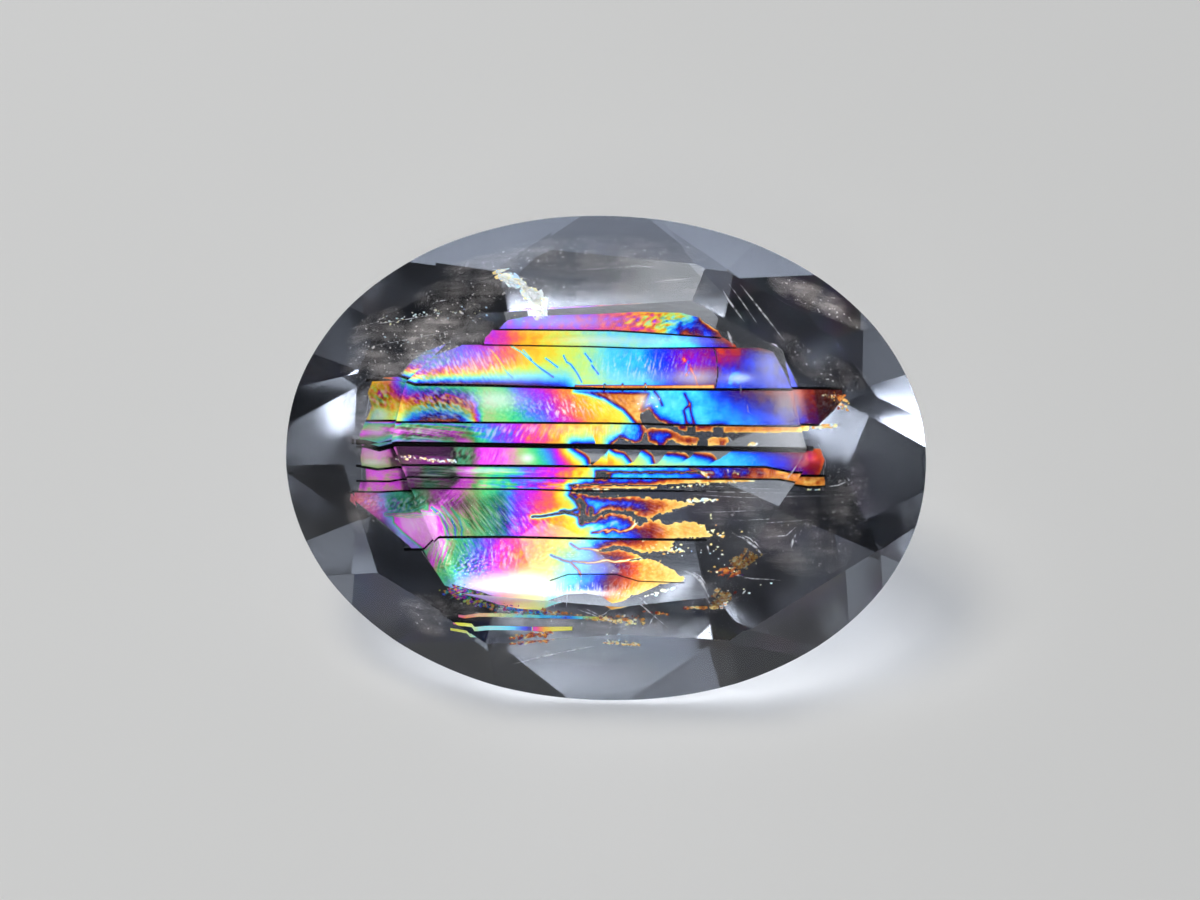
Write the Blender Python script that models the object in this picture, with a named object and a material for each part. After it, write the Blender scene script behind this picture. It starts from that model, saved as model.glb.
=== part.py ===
"""A clear moonstone cut as an oval, lying loose on its front pavilion facet.

The stone is one solid. It is cut the way a lapidary cuts it: an oval preform is ground flat,
facet by facet, until the table, the crown, the pavilion and the culet are all there. The
crown is freehand work: shallow mains lie around the table, and steeper skirt facets of
unequal width run on down to the girdle.

Inside lies the parting, a natural crack parallel to the table. It stands open by a hair's
breadth, runs in levels with a riser between each and the next, and ends in ragged tongues.
A hairline of it runs out to the left skirt.

Stone frame, in millimetres: X along the oval, Y across it, Z out of the table, and the middle
of the girdle at z = 0. The finished stone is in metres, tipped over onto its front main.
"""

from math import atan2, copysign, cos, radians, sin
from typing import NamedTuple

import bmesh
import bpy
from mathutils import Matrix, Vector
from mathutils.geometry import intersect_plane_plane, normal

MM = 0.001

# Driving dimensions, in millimetres. The crown's height runs from the girdle's upper edge to
# the table, and the pavilion's depth from its lower edge to the keel that the culet blunts.
LENGTH = 9.24
WIDTH = 7.0
GIRDLE_THICKNESS = 0.26
CROWN_HEIGHT = 0.86
PAVILION_DEPTH = 3.15
KEEL_LENGTH = 2.1
CULET_DEPTH = 0.05

# How far the facets bite into the girdle's edges at their ends, and how deep the pavilion's
# break facets reach.
SCALLOP = 0.05
BREAK_TIP_DEPTH = 0.40 * PAVILION_DEPTH

# The outline: a shade fuller than an ellipse, as a hand-ground oval is.
OVAL_FULLNESS = 2.05
OUTLINE_SIDES = 144

# What the grinding takes off the preform above the table and below the culet.
GRINDING_WASTE = 1.0

# The parting. Its height is above the middle of the girdle. Its levels lie a riser apart, and
# its risers run nearly along the oval, all turned by the same small angle. The gap is drawn
# wider than a real crack's, so that it is there as a form, and wider than a riser is high, so
# that the levels stay joined.
PARTING_HEIGHT = 0.20
PARTING_TURN = 2.0
PARTING_GAP = 0.050
RISER_HEIGHT = 0.030
PARTING_REACH = 5.2

# Where the risers lie across the oval, front to back, and which way each level is stepped.
RISERS = (-1.15, -0.45, -0.29, -0.13, 0.17, 0.49, 1.03, 1.60, 1.82)
LEVELS = (1, 0, -1, 0, 1, 0, -1, 0, 1, 0)

# The parting's outline, clockwise from the left end of its back edge. Its left end is blunt,
# and its front right end is drawn out into tongues.
BACK_EDGE = ((-1.36, 2.03), (-0.09, 2.08), (1.07, 2.09), (1.45, 1.97), (1.90, 1.64))
RIGHT_SHOULDER = ((2.40, 1.54), (2.66, 1.06), (3.31, 1.00), (3.36, 0.85), (2.98, 0.45), (2.80, 0.30))
RIGHT_HEM = ((2.96, 0.20), (3.07, -0.05), (3.05, -0.42), (2.10, -0.42))
BASIN_TONGUES = (
    (-0.46, -0.50), (0.74, -0.57), (1.29, -0.65), (0.94, -0.78), (0.56, -0.86), (0.30, -0.73),
    (0.04, -0.73), (-0.03, -0.83), (0.35, -0.84), (0.48, -0.96), (0.77, -0.89), (1.19, -0.89),
    (1.55, -1.11), (1.43, -1.20),
)
FAN_TONGUES = ((0.98, -1.25), (0.16, -1.30), (0.53, -1.43), (1.17, -1.76))
FRONT_EDGE = (
    (0.23, -2.05), (-0.29, -1.93), (-0.58, -1.95), (-0.94, -2.09), (-1.54, -2.01), (-2.14, -1.82),
)
LEFT_END = ((-2.46, -1.47), (-2.62, -1.24), (-2.92, -1.09), (-3.59, -0.57), (-3.45, -0.27))
LEFT_SHOULDER = ((-3.45, 0.10), (-3.39, 0.50), (-3.30, 1.06), (-2.92, 1.08), (-2.64, 1.47), (-1.82, 1.64))

# The hairline by which the parting reaches the skirt: its place across the oval and its width.
HAIRLINE_PLACE = -0.21
HAIRLINE_WIDTH = 0.024

STONE_COLOUR = (0.86, 0.88, 0.90, 1.0)
STONE_ROUGHNESS = 0.04
STONE_IOR = 1.522


class CrownMain(NamedTuple):
    """A facet beside the table: the way it faces, the reach of the table's edge, its slope."""

    azimuth: float
    reach: float
    slope: float


class Skirt(NamedTuple):
    """A facet at the girdle: where its ends are, and a spot that its upper edge runs through."""

    start: float
    end: float
    x: float
    y: float


# The nine mains around the table, anticlockwise from the right end. Angles are in degrees.
CROWN_MAINS = (
    CrownMain(15.5, 2.80, 19.0),
    CrownMain(63.5, 2.56, 22.0),
    CrownMain(95.5, 2.17, 24.0),
    CrownMain(135.5, 2.75, 22.0),
    CrownMain(168.5, 3.03, 18.5),
    CrownMain(205.0, 2.72, 18.0),
    CrownMain(267.0, 2.09, 20.0),
    CrownMain(278.0, 2.12, 20.0),
    CrownMain(327.0, 2.40, 17.5),
)

# The skirt facets, anticlockwise from the right end.
SKIRTS = (
    Skirt(-13.6, 12.1, 3.48, -0.22),
    Skirt(12.1, 35.2, 3.55, 1.40),
    Skirt(35.2, 49.0, 2.95, 2.00),
    Skirt(49.0, 64.2, 2.10, 2.50),
    Skirt(64.2, 81.4, 1.40, 2.75),
    Skirt(81.4, 101.2, 0.00, 2.90),
    Skirt(101.2, 123.9, -1.60, 2.60),
    Skirt(123.9, 144.3, -2.90, 2.10),
    Skirt(144.3, 165.6, -3.55, 1.20),
    Skirt(165.6, 184.4, -3.60, 0.60),
    Skirt(184.4, 211.3, -3.56, -0.75),
    Skirt(211.3, 231.0, -2.75, -2.00),
    Skirt(231.0, 251.4, -1.95, -2.50),
    Skirt(251.4, 295.6, 0.30, -2.50),
    Skirt(295.6, 312.4, 1.90, -2.50),
    Skirt(312.4, 330.6, 3.00, -1.80),
    Skirt(330.6, 346.4, 3.95, -1.22),
)

# The eight pavilion mains, as stations around the oval, and how far each reaches to either side
# at the girdle. The one at 270 degrees is the facet that the stone lies on.
PAVILION_STEP = 45.0
PAVILION_STATIONS = tuple(PAVILION_STEP * step for step in range(8))
PAVILION_SPAN = 5.0


class Plane(NamedTuple):
    """A facet's plane: a point on it and the direction that it faces."""

    point: Vector
    facing: Vector


def oval_point(half_length, half_width, station, z):
    """A point of an ellipse at a station in degrees, at height z."""
    angle = radians(station)
    return Vector((half_length * cos(angle), half_width * sin(angle), z))


def outline_point(station, z):
    """A point of the stone's own outline, in the direction of the ellipse's station."""
    spot = oval_point(LENGTH / 2, WIDTH / 2, station, z)
    u, v = spot.x / (LENGTH / 2), spot.y / (WIDTH / 2)
    stretch = (abs(u) ** OVAL_FULLNESS + abs(v) ** OVAL_FULLNESS) ** (-1 / OVAL_FULLNESS)
    return Vector((spot.x * stretch, spot.y * stretch, z))


def outward(station):
    """The level direction square to the oval at a station."""
    angle = radians(station)
    return Vector((cos(angle) / LENGTH, sin(angle) / WIDTH, 0.0)).normalized()


def through(a, b, c):
    """The facet through three points, facing away from the middle of the stone."""
    facing = normal(a, b, c)
    return Plane(a, -facing if facing.dot(a) < 0 else facing)


def height_on(plane, x, y):
    """The height of a plane above a level position."""
    return plane.facing.dot(plane.point - Vector((x, y, 0.0))) / plane.facing.z


def crown_facets():
    """The table, the mains beside it and the skirt facets below them."""
    edge_z = GIRDLE_THICKNESS / 2
    table_z = edge_z + CROWN_HEIGHT
    mains = []
    for main in CROWN_MAINS:
        around, slope = radians(main.azimuth), radians(main.slope)
        level = Vector((cos(around), sin(around), 0.0))
        facing = level * sin(slope) + Vector((0.0, 0.0, cos(slope)))
        mains.append(Plane(level * main.reach + Vector((0.0, 0.0, table_z)), facing))
    skirts = []
    for skirt in SKIRTS:
        top = min(height_on(main, skirt.x, skirt.y) for main in mains)
        ends = [outline_point(station, edge_z + SCALLOP) for station in (skirt.start, skirt.end)]
        skirts.append(through(ends[0], ends[1], Vector((skirt.x, skirt.y, top))))
    table = Plane(Vector((0.0, 0.0, table_z)), Vector((0.0, 0.0, 1.0)))
    return [table, *mains, *skirts]


def pavilion_main(station):
    """The main that touches the girdle's lower edge at a station and runs to the keel."""
    edge_z = -GIRDLE_THICKNESS / 2
    touch = oval_point(LENGTH / 2, WIDTH / 2, station, edge_z)
    tangent = Vector((0.0, 0.0, 1.0)).cross(outward(station))
    keel_x = copysign(KEEL_LENGTH / 2, touch.x)
    return through(touch, touch + tangent, Vector((keel_x, 0.0, edge_z - PAVILION_DEPTH)))


def pavilion_breaks(station, main, next_main):
    """The two break facets between a main and the next: they share a tip and a girdle end."""
    edge_z = -GIRDLE_THICKNESS / 2
    start, along = intersect_plane_plane(*main, *next_main)
    tip = start + along * ((edge_z - BREAK_TIP_DEPTH - start.z) / along.z)
    middle = outline_point(station + PAVILION_STEP / 2, edge_z - SCALLOP)
    near_end = station + PAVILION_SPAN
    far_end = station + PAVILION_STEP - PAVILION_SPAN
    breaks = []
    for side, end in ((main, near_end), (next_main, far_end)):
        corner = outline_point(end, 0.0)
        corner.z = height_on(side, corner.x, corner.y)
        breaks.append(through(tip, corner, middle))
    return breaks


def pavilion_facets():
    """Eight mains that meet along the keel, sixteen breaks and the culet."""
    mains = [pavilion_main(station) for station in PAVILION_STATIONS]
    following = mains[1:] + mains[:1]
    breaks = []
    for station, main, next_main in zip(PAVILION_STATIONS, mains, following):
        breaks += pavilion_breaks(station, main, next_main)
    culet_z = -GIRDLE_THICKNESS / 2 - PAVILION_DEPTH + CULET_DEPTH
    culet = Plane(Vector((0.0, 0.0, culet_z)), Vector((0.0, 0.0, -1.0)))
    return [*mains, *breaks, culet]


def extruded(points, step):
    """A closed solid: a flat face through points, drawn out along a step."""
    solid = bmesh.new()
    face = solid.faces.new([solid.verts.new(point) for point in points])
    raised = bmesh.ops.extrude_face_region(solid, geom=[face])["geom"]
    lifted = [item for item in raised if isinstance(item, bmesh.types.BMVert)]
    bmesh.ops.translate(solid, verts=lifted, vec=step)
    bmesh.ops.recalc_face_normals(solid, faces=solid.faces)
    return solid


def oval_preform():
    """The ground oval blank, tall enough for every facet."""
    top = GIRDLE_THICKNESS / 2 + CROWN_HEIGHT + GRINDING_WASTE
    bottom = -(GIRDLE_THICKNESS / 2 + PAVILION_DEPTH + GRINDING_WASTE)
    ring = [outline_point(360.0 * side / OUTLINE_SIDES, bottom) for side in range(OUTLINE_SIDES)]
    return extruded(ring, (0.0, 0.0, top - bottom))


def grind(stone, plane):
    """Grinds one flat facet: what lies outside the plane goes, and the cut is closed."""
    everything = [*stone.verts, *stone.edges, *stone.faces]
    cut = bmesh.ops.bisect_plane(
        stone, geom=everything, dist=1e-5, plane_co=plane.point, plane_no=plane.facing, clear_outer=True
    )
    rim = [item for item in cut["geom_cut"] if isinstance(item, bmesh.types.BMEdge)]
    bmesh.ops.contextual_create(stone, geom=rim)


def resting_place(stone):
    """What tips the stone onto its front main, with the floor at z = 0 and its box centred."""
    tilt = Matrix.Rotation(atan2(PAVILION_DEPTH, WIDTH / 2), 4, "X")
    tipped = [tilt @ vert.co for vert in stone.verts]
    low = [min(corner[axis] for corner in tipped) for axis in range(3)]
    high = [max(corner[axis] for corner in tipped) for axis in range(3)]
    shift = Vector((-(low[0] + high[0]) / 2, -(low[1] + high[1]) / 2, -low[2]))
    return Matrix.Scale(MM, 4) @ Matrix.Translation(shift) @ tilt


def stepped_gap():
    """The parting's levels and risers, running on past its ends."""
    edges = (-PARTING_REACH, *RISERS, PARTING_REACH)
    floor_line = []
    for level, start, end in zip(LEVELS, edges, edges[1:]):
        bottom = level * RISER_HEIGHT - PARTING_GAP / 2
        floor_line += [(start, bottom), (end, bottom)]
    roof_line = [(y, z + PARTING_GAP) for y, z in reversed(floor_line)]
    profile = [(-PARTING_REACH, y, z) for y, z in floor_line + roof_line]
    return extruded(profile, (2 * PARTING_REACH, 0.0, 0.0))


def parting_outline():
    """The parting's extent, as a prism much taller than its levels."""
    hairline = (
        (LEFT_END[-1][0], HAIRLINE_PLACE - HAIRLINE_WIDTH / 2),
        (-PARTING_REACH, HAIRLINE_PLACE - HAIRLINE_WIDTH / 2),
        (-PARTING_REACH, HAIRLINE_PLACE + HAIRLINE_WIDTH / 2),
        (LEFT_END[-1][0], HAIRLINE_PLACE + HAIRLINE_WIDTH / 2),
    )
    rim = (*BACK_EDGE, *RIGHT_SHOULDER, *RIGHT_HEM, *BASIN_TONGUES, *FAN_TONGUES,
           *FRONT_EDGE, *LEFT_END, *hairline, *LEFT_SHOULDER)
    return extruded([(x, y, -PARTING_REACH) for x, y in rim], (0.0, 0.0, 2 * PARTING_REACH))


def clear_stone_material():
    """Polished, colourless feldspar."""
    material = bpy.data.materials.new("clear_stone")
    material.use_nodes = True
    shader = material.node_tree.nodes["Principled BSDF"]
    shader.inputs["Base Color"].default_value = STONE_COLOUR
    shader.inputs["Metallic"].default_value = 0.0
    shader.inputs["Roughness"].default_value = STONE_ROUGHNESS
    shader.inputs["IOR"].default_value = STONE_IOR
    shader.inputs["Transmission Weight"].default_value = 1.0
    return material


def add_object(name, solid, place):
    """Puts a solid in the scene, moved to its place."""
    bmesh.ops.transform(solid, matrix=place, verts=solid.verts)
    mesh = bpy.data.meshes.new(name)
    solid.to_mesh(mesh)
    solid.free()
    item = bpy.data.objects.new(name, mesh)
    bpy.context.scene.collection.objects.link(item)
    return item


def cut_with(body, tool, operation):
    """Cuts a body with a tool, which is then only a guide."""
    cut = body.modifiers.new(operation.lower(), "BOOLEAN")
    cut.operation = operation
    cut.object = tool
    tool.hide_render = True
    tool.display_type = "WIRE"


def make_moonstone():
    """Cuts the stone, opens its parting and puts it in the scene."""
    stone = oval_preform()
    for plane in crown_facets() + pavilion_facets():
        grind(stone, plane)
    place = resting_place(stone)
    turned = Matrix.Rotation(radians(PARTING_TURN), 4, "Z")
    in_stone = place @ Matrix.Translation((0.0, 0.0, PARTING_HEIGHT)) @ turned
    body = add_object("moonstone", stone, place)
    gap = add_object("parting_gap", stepped_gap(), in_stone)
    cut_with(gap, add_object("parting_outline", parting_outline(), in_stone), "INTERSECT")
    cut_with(body, gap, "DIFFERENCE")
    body.data.materials.append(clear_stone_material())
    return body


def clear_scene():
    """Removes everything that a new scene starts with."""
    for leftover in list(bpy.data.objects):
        bpy.data.objects.remove(leftover)


def main():
    clear_scene()
    make_moonstone()


main()
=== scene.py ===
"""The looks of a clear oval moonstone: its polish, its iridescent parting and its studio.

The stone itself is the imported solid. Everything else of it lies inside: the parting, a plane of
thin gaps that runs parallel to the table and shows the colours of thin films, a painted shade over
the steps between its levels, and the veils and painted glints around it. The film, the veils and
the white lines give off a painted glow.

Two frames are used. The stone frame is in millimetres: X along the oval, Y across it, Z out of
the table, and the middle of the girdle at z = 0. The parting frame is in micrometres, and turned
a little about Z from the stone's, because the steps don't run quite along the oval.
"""

import logging
from dataclasses import dataclass, field
from enum import Enum, IntEnum
from math import cos, pi, radians, sin

import bmesh
import bpy
import numpy as np
from mathutils import Matrix, Vector


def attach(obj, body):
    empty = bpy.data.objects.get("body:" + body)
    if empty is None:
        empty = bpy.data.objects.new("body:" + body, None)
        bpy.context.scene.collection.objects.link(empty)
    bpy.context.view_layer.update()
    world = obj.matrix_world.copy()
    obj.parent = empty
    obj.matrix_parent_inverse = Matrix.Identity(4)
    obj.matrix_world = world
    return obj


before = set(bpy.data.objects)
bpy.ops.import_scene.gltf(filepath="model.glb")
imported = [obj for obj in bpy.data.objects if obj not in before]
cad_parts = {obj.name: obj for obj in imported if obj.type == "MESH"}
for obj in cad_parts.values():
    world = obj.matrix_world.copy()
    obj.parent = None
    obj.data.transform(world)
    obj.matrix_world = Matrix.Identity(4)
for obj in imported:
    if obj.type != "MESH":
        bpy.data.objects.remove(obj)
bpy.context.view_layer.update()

LOG = logging.getLogger("moonstone")
BODY = "root"

# Metres to a millimetre, and millimetres to a micrometre.
MM = 0.001
MICRON = 0.001

# How high the table stands over the girdle's middle, in millimetres, as the solid has it.
TABLE_HEIGHT = 0.99

# The slopes to a side of the noise's lattice, and what brings its swells to a height of about 1.
LATTICE = 64
SWELL = 1.6

# How far apart the random patterns of the rough places are.
STRIDE = 7

# The layers of numbers that the film's points carry.
FILM_LAYERS = ("gap", "shine", "pale")

Array = np.ndarray
BMesh = bmesh.types.BMesh
Material = bpy.types.Material
Piece = bpy.types.Object
Socket = bpy.types.NodeSocket
Colour = tuple[float, float, float, float]
Triple = tuple[float, float, float]
Place = tuple[float, float]
Route = tuple[Place, ...]


@dataclass(frozen=True)
class StoneFrame:
    """The stone's own frame, as the stone lies.

    Attributes:
        matrix: Takes a point of the stone frame, in millimetres, to the row frame, in metres.
    """

    matrix: Matrix

    @classmethod
    def of_node(cls, node: Piece) -> "StoneFrame":
        """Finds the frame from the table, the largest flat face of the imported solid.

        Args:
            node: The stone's CAD object.

        Returns:
            The frame of the stone as it lies.
        """
        areas: dict[tuple[float, ...], float] = {}
        for polygon in node.data.polygons:
            key = tuple(round(value, 3) for value in polygon.normal)
            areas[key] = areas.get(key, 0.0) + polygon.area
        out = Vector(max(areas, key=areas.get)).normalized()
        along = Vector((1.0, 0.0, 0.0))
        across = out.cross(along).normalized()
        corners = [vertex.co for vertex in node.data.vertices]
        reach = [corner.dot(across) for corner in corners]
        middle = (min(reach) + max(reach)) / 2
        table = max(corner.dot(out) for corner in corners)
        origin = across * middle + out * (table - TABLE_HEIGHT * MM)
        turn = Matrix((along, across, out)).transposed().to_4x4()
        return cls(Matrix.Translation(origin) @ turn @ Matrix.Scale(MM, 4))

    def point(self, x: float, y: float, z: float) -> Vector:
        """A point of the stone frame, in the row frame."""
        return self.matrix @ Vector((x, y, z))

    def direction(self, x: float, y: float, z: float) -> Vector:
        """A direction of the stone frame, in the row frame."""
        return (self.matrix.to_3x3() @ Vector((x, y, z))).normalized()

    def sheet(self, turn: float, depth: float) -> Matrix:
        """Takes the parting frame, turned so many degrees and at a depth in mm, to the row frame."""
        place = Matrix.Translation((0.0, 0.0, depth))
        return self.matrix @ place @ Matrix.Rotation(radians(turn), 4, "Z") @ Matrix.Scale(MICRON, 4)


def ripple(x: Array, y: Array, size: Place, seed: int, turn: float = 0.0) -> Array:
    """Smooth noise of swells and hollows.

    Args:
        x: Places along the sheet.
        y: Places across the sheet.
        size: Length and width of a swell.
        seed: Which pattern.
        turn: How far the swells are turned, in degrees.

    Returns:
        Heights between about -1 and 1.
    """
    lean = radians(turn)
    along = (x * cos(lean) + y * sin(lean)) / size[0]
    across = (y * cos(lean) - x * sin(lean)) / size[1]
    leans = np.random.default_rng(seed).random((LATTICE, LATTICE)) * 2 * pi
    column, row = np.floor(along).astype(int), np.floor(across).astype(int)
    right, up = along - column, across - row

    def corner(step: int, rise: int) -> Array:
        """The slope that one corner of the lattice gives at each place."""
        angle = leans[(column + step) % LATTICE, (row + rise) % LATTICE]
        return np.cos(angle) * (right - step) + np.sin(angle) * (up - rise)

    blend = right * right * (3 - 2 * right)
    low = corner(0, 0) * (1 - blend) + corner(1, 0) * blend
    high = corner(0, 1) * (1 - blend) + corner(1, 1) * blend
    blend = up * up * (3 - 2 * up)
    return (low * (1 - blend) + high * blend) * SWELL


def crumple(x: Array, y: Array, size: Place, seed: int, turn: float = 0.0,
            layers: int = 3) -> Array:
    """Noise of several layers, each half the size and height of the last.

    Args:
        x: Places along the sheet.
        y: Places across the sheet.
        size: Length and width of the largest swells.
        seed: Which pattern.
        turn: How far the swells are turned, in degrees.
        layers: How many layers.

    Returns:
        Heights between about -2 and 2.
    """
    total = np.zeros_like(x)
    for layer in range(layers):
        share = 2 ** layer
        total = total + ripple(x, y, (size[0] / share, size[1] / share), seed + layer, turn) / share
    return total


def rise(start: float, end: float, value: Array) -> Array:
    """A smooth step from 0 at start to 1 at end."""
    share = np.clip((value - start) / (end - start), 0.0, 1.0)
    return share * share * (3 - 2 * share)


def along_route(route: Route, x: Array) -> Array:
    """The height of a route at each x, held level past its ends."""
    return np.interp(x, [place[0] for place in route], [place[1] for place in route])


def across_route(route: Route, y: Array) -> Array:
    """The x of a route at each y, held past its ends."""
    ordered = sorted(route, key=lambda place: place[1])
    return np.interp(y, [place[1] for place in ordered], [place[0] for place in ordered])


def distance_to(route: Route, x: Array, y: Array) -> Array:
    """The distance of each place from a route.

    Args:
        route: The route.
        x: Places along the sheet.
        y: Places across the sheet.

    Returns:
        The distances.
    """
    nearest = np.full(x.shape, np.inf)
    for (start_x, start_y), (end_x, end_y) in zip(route, route[1:]):
        run, climb = end_x - start_x, end_y - start_y
        share = ((x - start_x) * run + (y - start_y) * climb) / (run * run + climb * climb)
        share = np.clip(share, 0.0, 1.0)
        gap = np.hypot(x - start_x - share * run, y - start_y - share * climb)
        nearest = np.minimum(nearest, gap)
    return nearest


def outside_of(outline: Route, x: Array, y: Array) -> Array:
    """How far each place lies outside a closed outline.

    Args:
        outline: The outline, without its first place again at its end.
        x: Places along the sheet.
        y: Places across the sheet.

    Returns:
        The distances, less than nothing inside the outline.
    """
    closed = outline + outline[:1]
    inside = np.zeros(x.shape, dtype=bool)
    for (start_x, start_y), (end_x, end_y) in zip(closed, closed[1:]):
        if start_y != end_y:
            level = (start_y > y) != (end_y > y)
            edge = (end_x - start_x) * (y - start_y) / (end_y - start_y) + start_x
            inside ^= level & (x < edge)
    away = distance_to(closed, x, y)
    return np.where(inside, -away, away)


def near(outline: Route, x: Array, y: Array, margin: float) -> Array:
    """Which places lie near an outline.

    Args:
        outline: The outline.
        x: Places along the sheet.
        y: Places across the sheet.
        margin: How far from the box around it they may lie.

    Returns:
        True for each place that does.
    """
    xs, ys = [place[0] for place in outline], [place[1] for place in outline]
    across = (x > min(xs) - margin) & (x < max(xs) + margin)
    return across & (y > min(ys) - margin) & (y < max(ys) + margin)


def turned(middle: Place, offset: Place, lean: float, height: float) -> Triple:
    """A point beside a middle.

    Args:
        middle: The middle.
        offset: How far the point lies from it, along and across, before it is turned.
        lean: How far it is turned round the middle, in radians.
        height: The point's height.

    Returns:
        The point.
    """
    along, across = offset
    return (middle[0] + along * cos(lean) - across * sin(lean),
            middle[1] + along * sin(lean) + across * cos(lean), height)


class Seed(IntEnum):
    """Which random pattern each thing follows."""

    FLECKS = 5
    SWELL = 7
    PATCH = 31
    CLOSURE = 41
    CRACK = 51
    PATH = 101
    SHINE = 301


class Level(Enum):
    """The heights that the parting lies at, counted in risers from the middle one."""

    LOW = -1
    MIDDLE = 0
    HIGH = 1


@dataclass(frozen=True)
class Step:
    """A riser between two levels of the parting, seen from above as a dark line.

    Attributes:
        width: Its width from above, in micrometres.
        level: The higher of the two levels.
        route: Where it runs, in the parting frame.
    """

    width: float
    level: Level
    route: Route


@dataclass(frozen=True)
class Terrace:
    """One level of the parting, between two steps.

    Attributes:
        level: Its height.
        upper: The route of its upper edge.
        lower: The route of its lower edge.
        gap_above: Optical path of the gap along the upper edge, as (x, nanometres).
        gap_below: Optical path of the gap along the lower edge.
        wander: How far the gap wanders, in nanometres.
        bend: How far the gap keeps its upper value before it falls to the lower one.
        left: Where it ends on the left, if that is short of its edges' ends.
        right: Where it ends on the right, if that is short of its edges' ends.
    """

    level: Level
    upper: Route
    lower: Route
    gap_above: Route
    gap_below: Route
    wander: float = 20.0
    bend: float = 1.0
    left: Route = ()
    right: Route = ()


@dataclass(frozen=True)
class Closure:
    """An area where the parting's two faces touch, so that no film shows.

    Attributes:
        outline: Its outline, in the parting frame.
        fringe: Width over which the gap opens beside it, in micrometres.
        ragged: How far its edge strays, in micrometres.
        tooth: Length of the strays, in micrometres.
        sheer: At how many of the outline's last places the gap opens at once, with no fringe.
    """

    outline: Route
    fringe: float
    ragged: float
    tooth: float
    sheer: int = 0


@dataclass(frozen=True)
class Crack:
    """A thin line along which the gap closes.

    Attributes:
        route: Where it runs, in the parting frame.
        width: Its half width, in micrometres.
        fringe: Width over which the gap opens beside it, in micrometres.
        depth: How much of the gap it takes, from 0 to 1.
    """

    route: Route
    width: float
    fringe: float
    depth: float = 1.0


@dataclass(frozen=True)
class Patch:
    """A flake with a gap of its own.

    Attributes:
        outline: Its outline, in the parting frame.
        gap_left: Optical path of its gap at its left end, in nanometres.
        gap_right: Optical path of its gap at its right end.
        edge: Width over which it meets its surroundings, in micrometres.
        wander: How far its gap wanders, in nanometres.
    """

    outline: Route
    gap_left: float
    gap_right: float
    edge: float
    wander: float


@dataclass(frozen=True)
class Spot:
    """A soft round place that is darker, brighter or paler than the rest.

    Attributes:
        middle: Its middle, in the parting frame.
        reach: How far it reaches along and across, in micrometres.
        amount: How strong it is.
    """

    middle: Place
    reach: Place
    amount: float = 1.0

    def at(self, x: Array, y: Array) -> Array:
        """Its strength at each place."""
        off = ((x - self.middle[0]) / self.reach[0]) ** 2 + ((y - self.middle[1]) / self.reach[1]) ** 2
        return self.amount * np.exp(-off)


@dataclass(frozen=True)
class Grain:
    """A place where the parting's faces are rough, in strokes that lie one way.

    Attributes:
        middle: Its middle, in the parting frame.
        reach: How far it reaches along and across, in micrometres.
        stroke: Length and width of a stroke, in micrometres.
        lean: How far the strokes are turned from the steps, in degrees.
        path: How far they change the gap's optical path, in nanometres.
        dark: How far they darken the film.
        pale: How far they whiten it.
    """

    middle: Place
    reach: Place
    stroke: Place
    lean: float
    path: float
    dark: float = 0.0
    pale: float = 0.0


@dataclass(frozen=True)
class Sheen:
    """A flat-edged area that is paler, partly as a painted sheen, or darker if its amount is below nothing.

    Attributes:
        outline: Its outline, in the parting frame.
        amount: How much paler.
        edge: Width of its edge, in micrometres.
    """

    outline: Route
    amount: float
    edge: float


@dataclass(frozen=True)
class FleckField:
    """A scatter of small flakes where the closed parting stands open.

    Attributes:
        route: The line along which they lie.
        spread: How far they stray from it, in micrometres.
        count: How many.
        size: The largest one's radius, in micrometres.
        path: Optical path of their gaps, in nanometres.
        shine: How bright they are, from 0 to 1.
        flatness: How far they stray across the line, as a share of how far along it.
        smallest: The smallest one's radius, as a share of the largest one's.
        tilt: How far they are turned, in radians.
        variety: How far their gaps differ, as a share of the path.
        long: Shares of the radius between which a corner lies along the flake.
        wide: Shares of the radius between which it lies across the flake.
    """

    route: Route
    spread: float
    count: int
    size: float
    path: float
    shine: float = 1.0
    flatness: float = 0.5
    smallest: float = 0.35
    tilt: float = 0.5
    variety: float = 0.15
    long: Place = (0.7, 1.6)
    wide: Place = (0.5, 1.0)


@dataclass(frozen=True)
class Scratch:
    """A fine white line, wide in the middle and thin at its ends.

    Attributes:
        route: Where it runs, in the parting frame.
        width: Its greatest width, in micrometres.
        height: Its height above the parting, in micrometres.
    """

    route: Route
    width: float
    height: float


@dataclass(frozen=True)
class Veil:
    """A patch of fine milky haze.

    Attributes:
        middle: Its middle, in the parting frame.
        reach: Half its length and width, in micrometres.
        lean: How far it is turned, in degrees.
        thickness: How much it hides, from 0 to 1.
    """

    middle: Place
    reach: Place
    lean: float
    thickness: float


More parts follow.
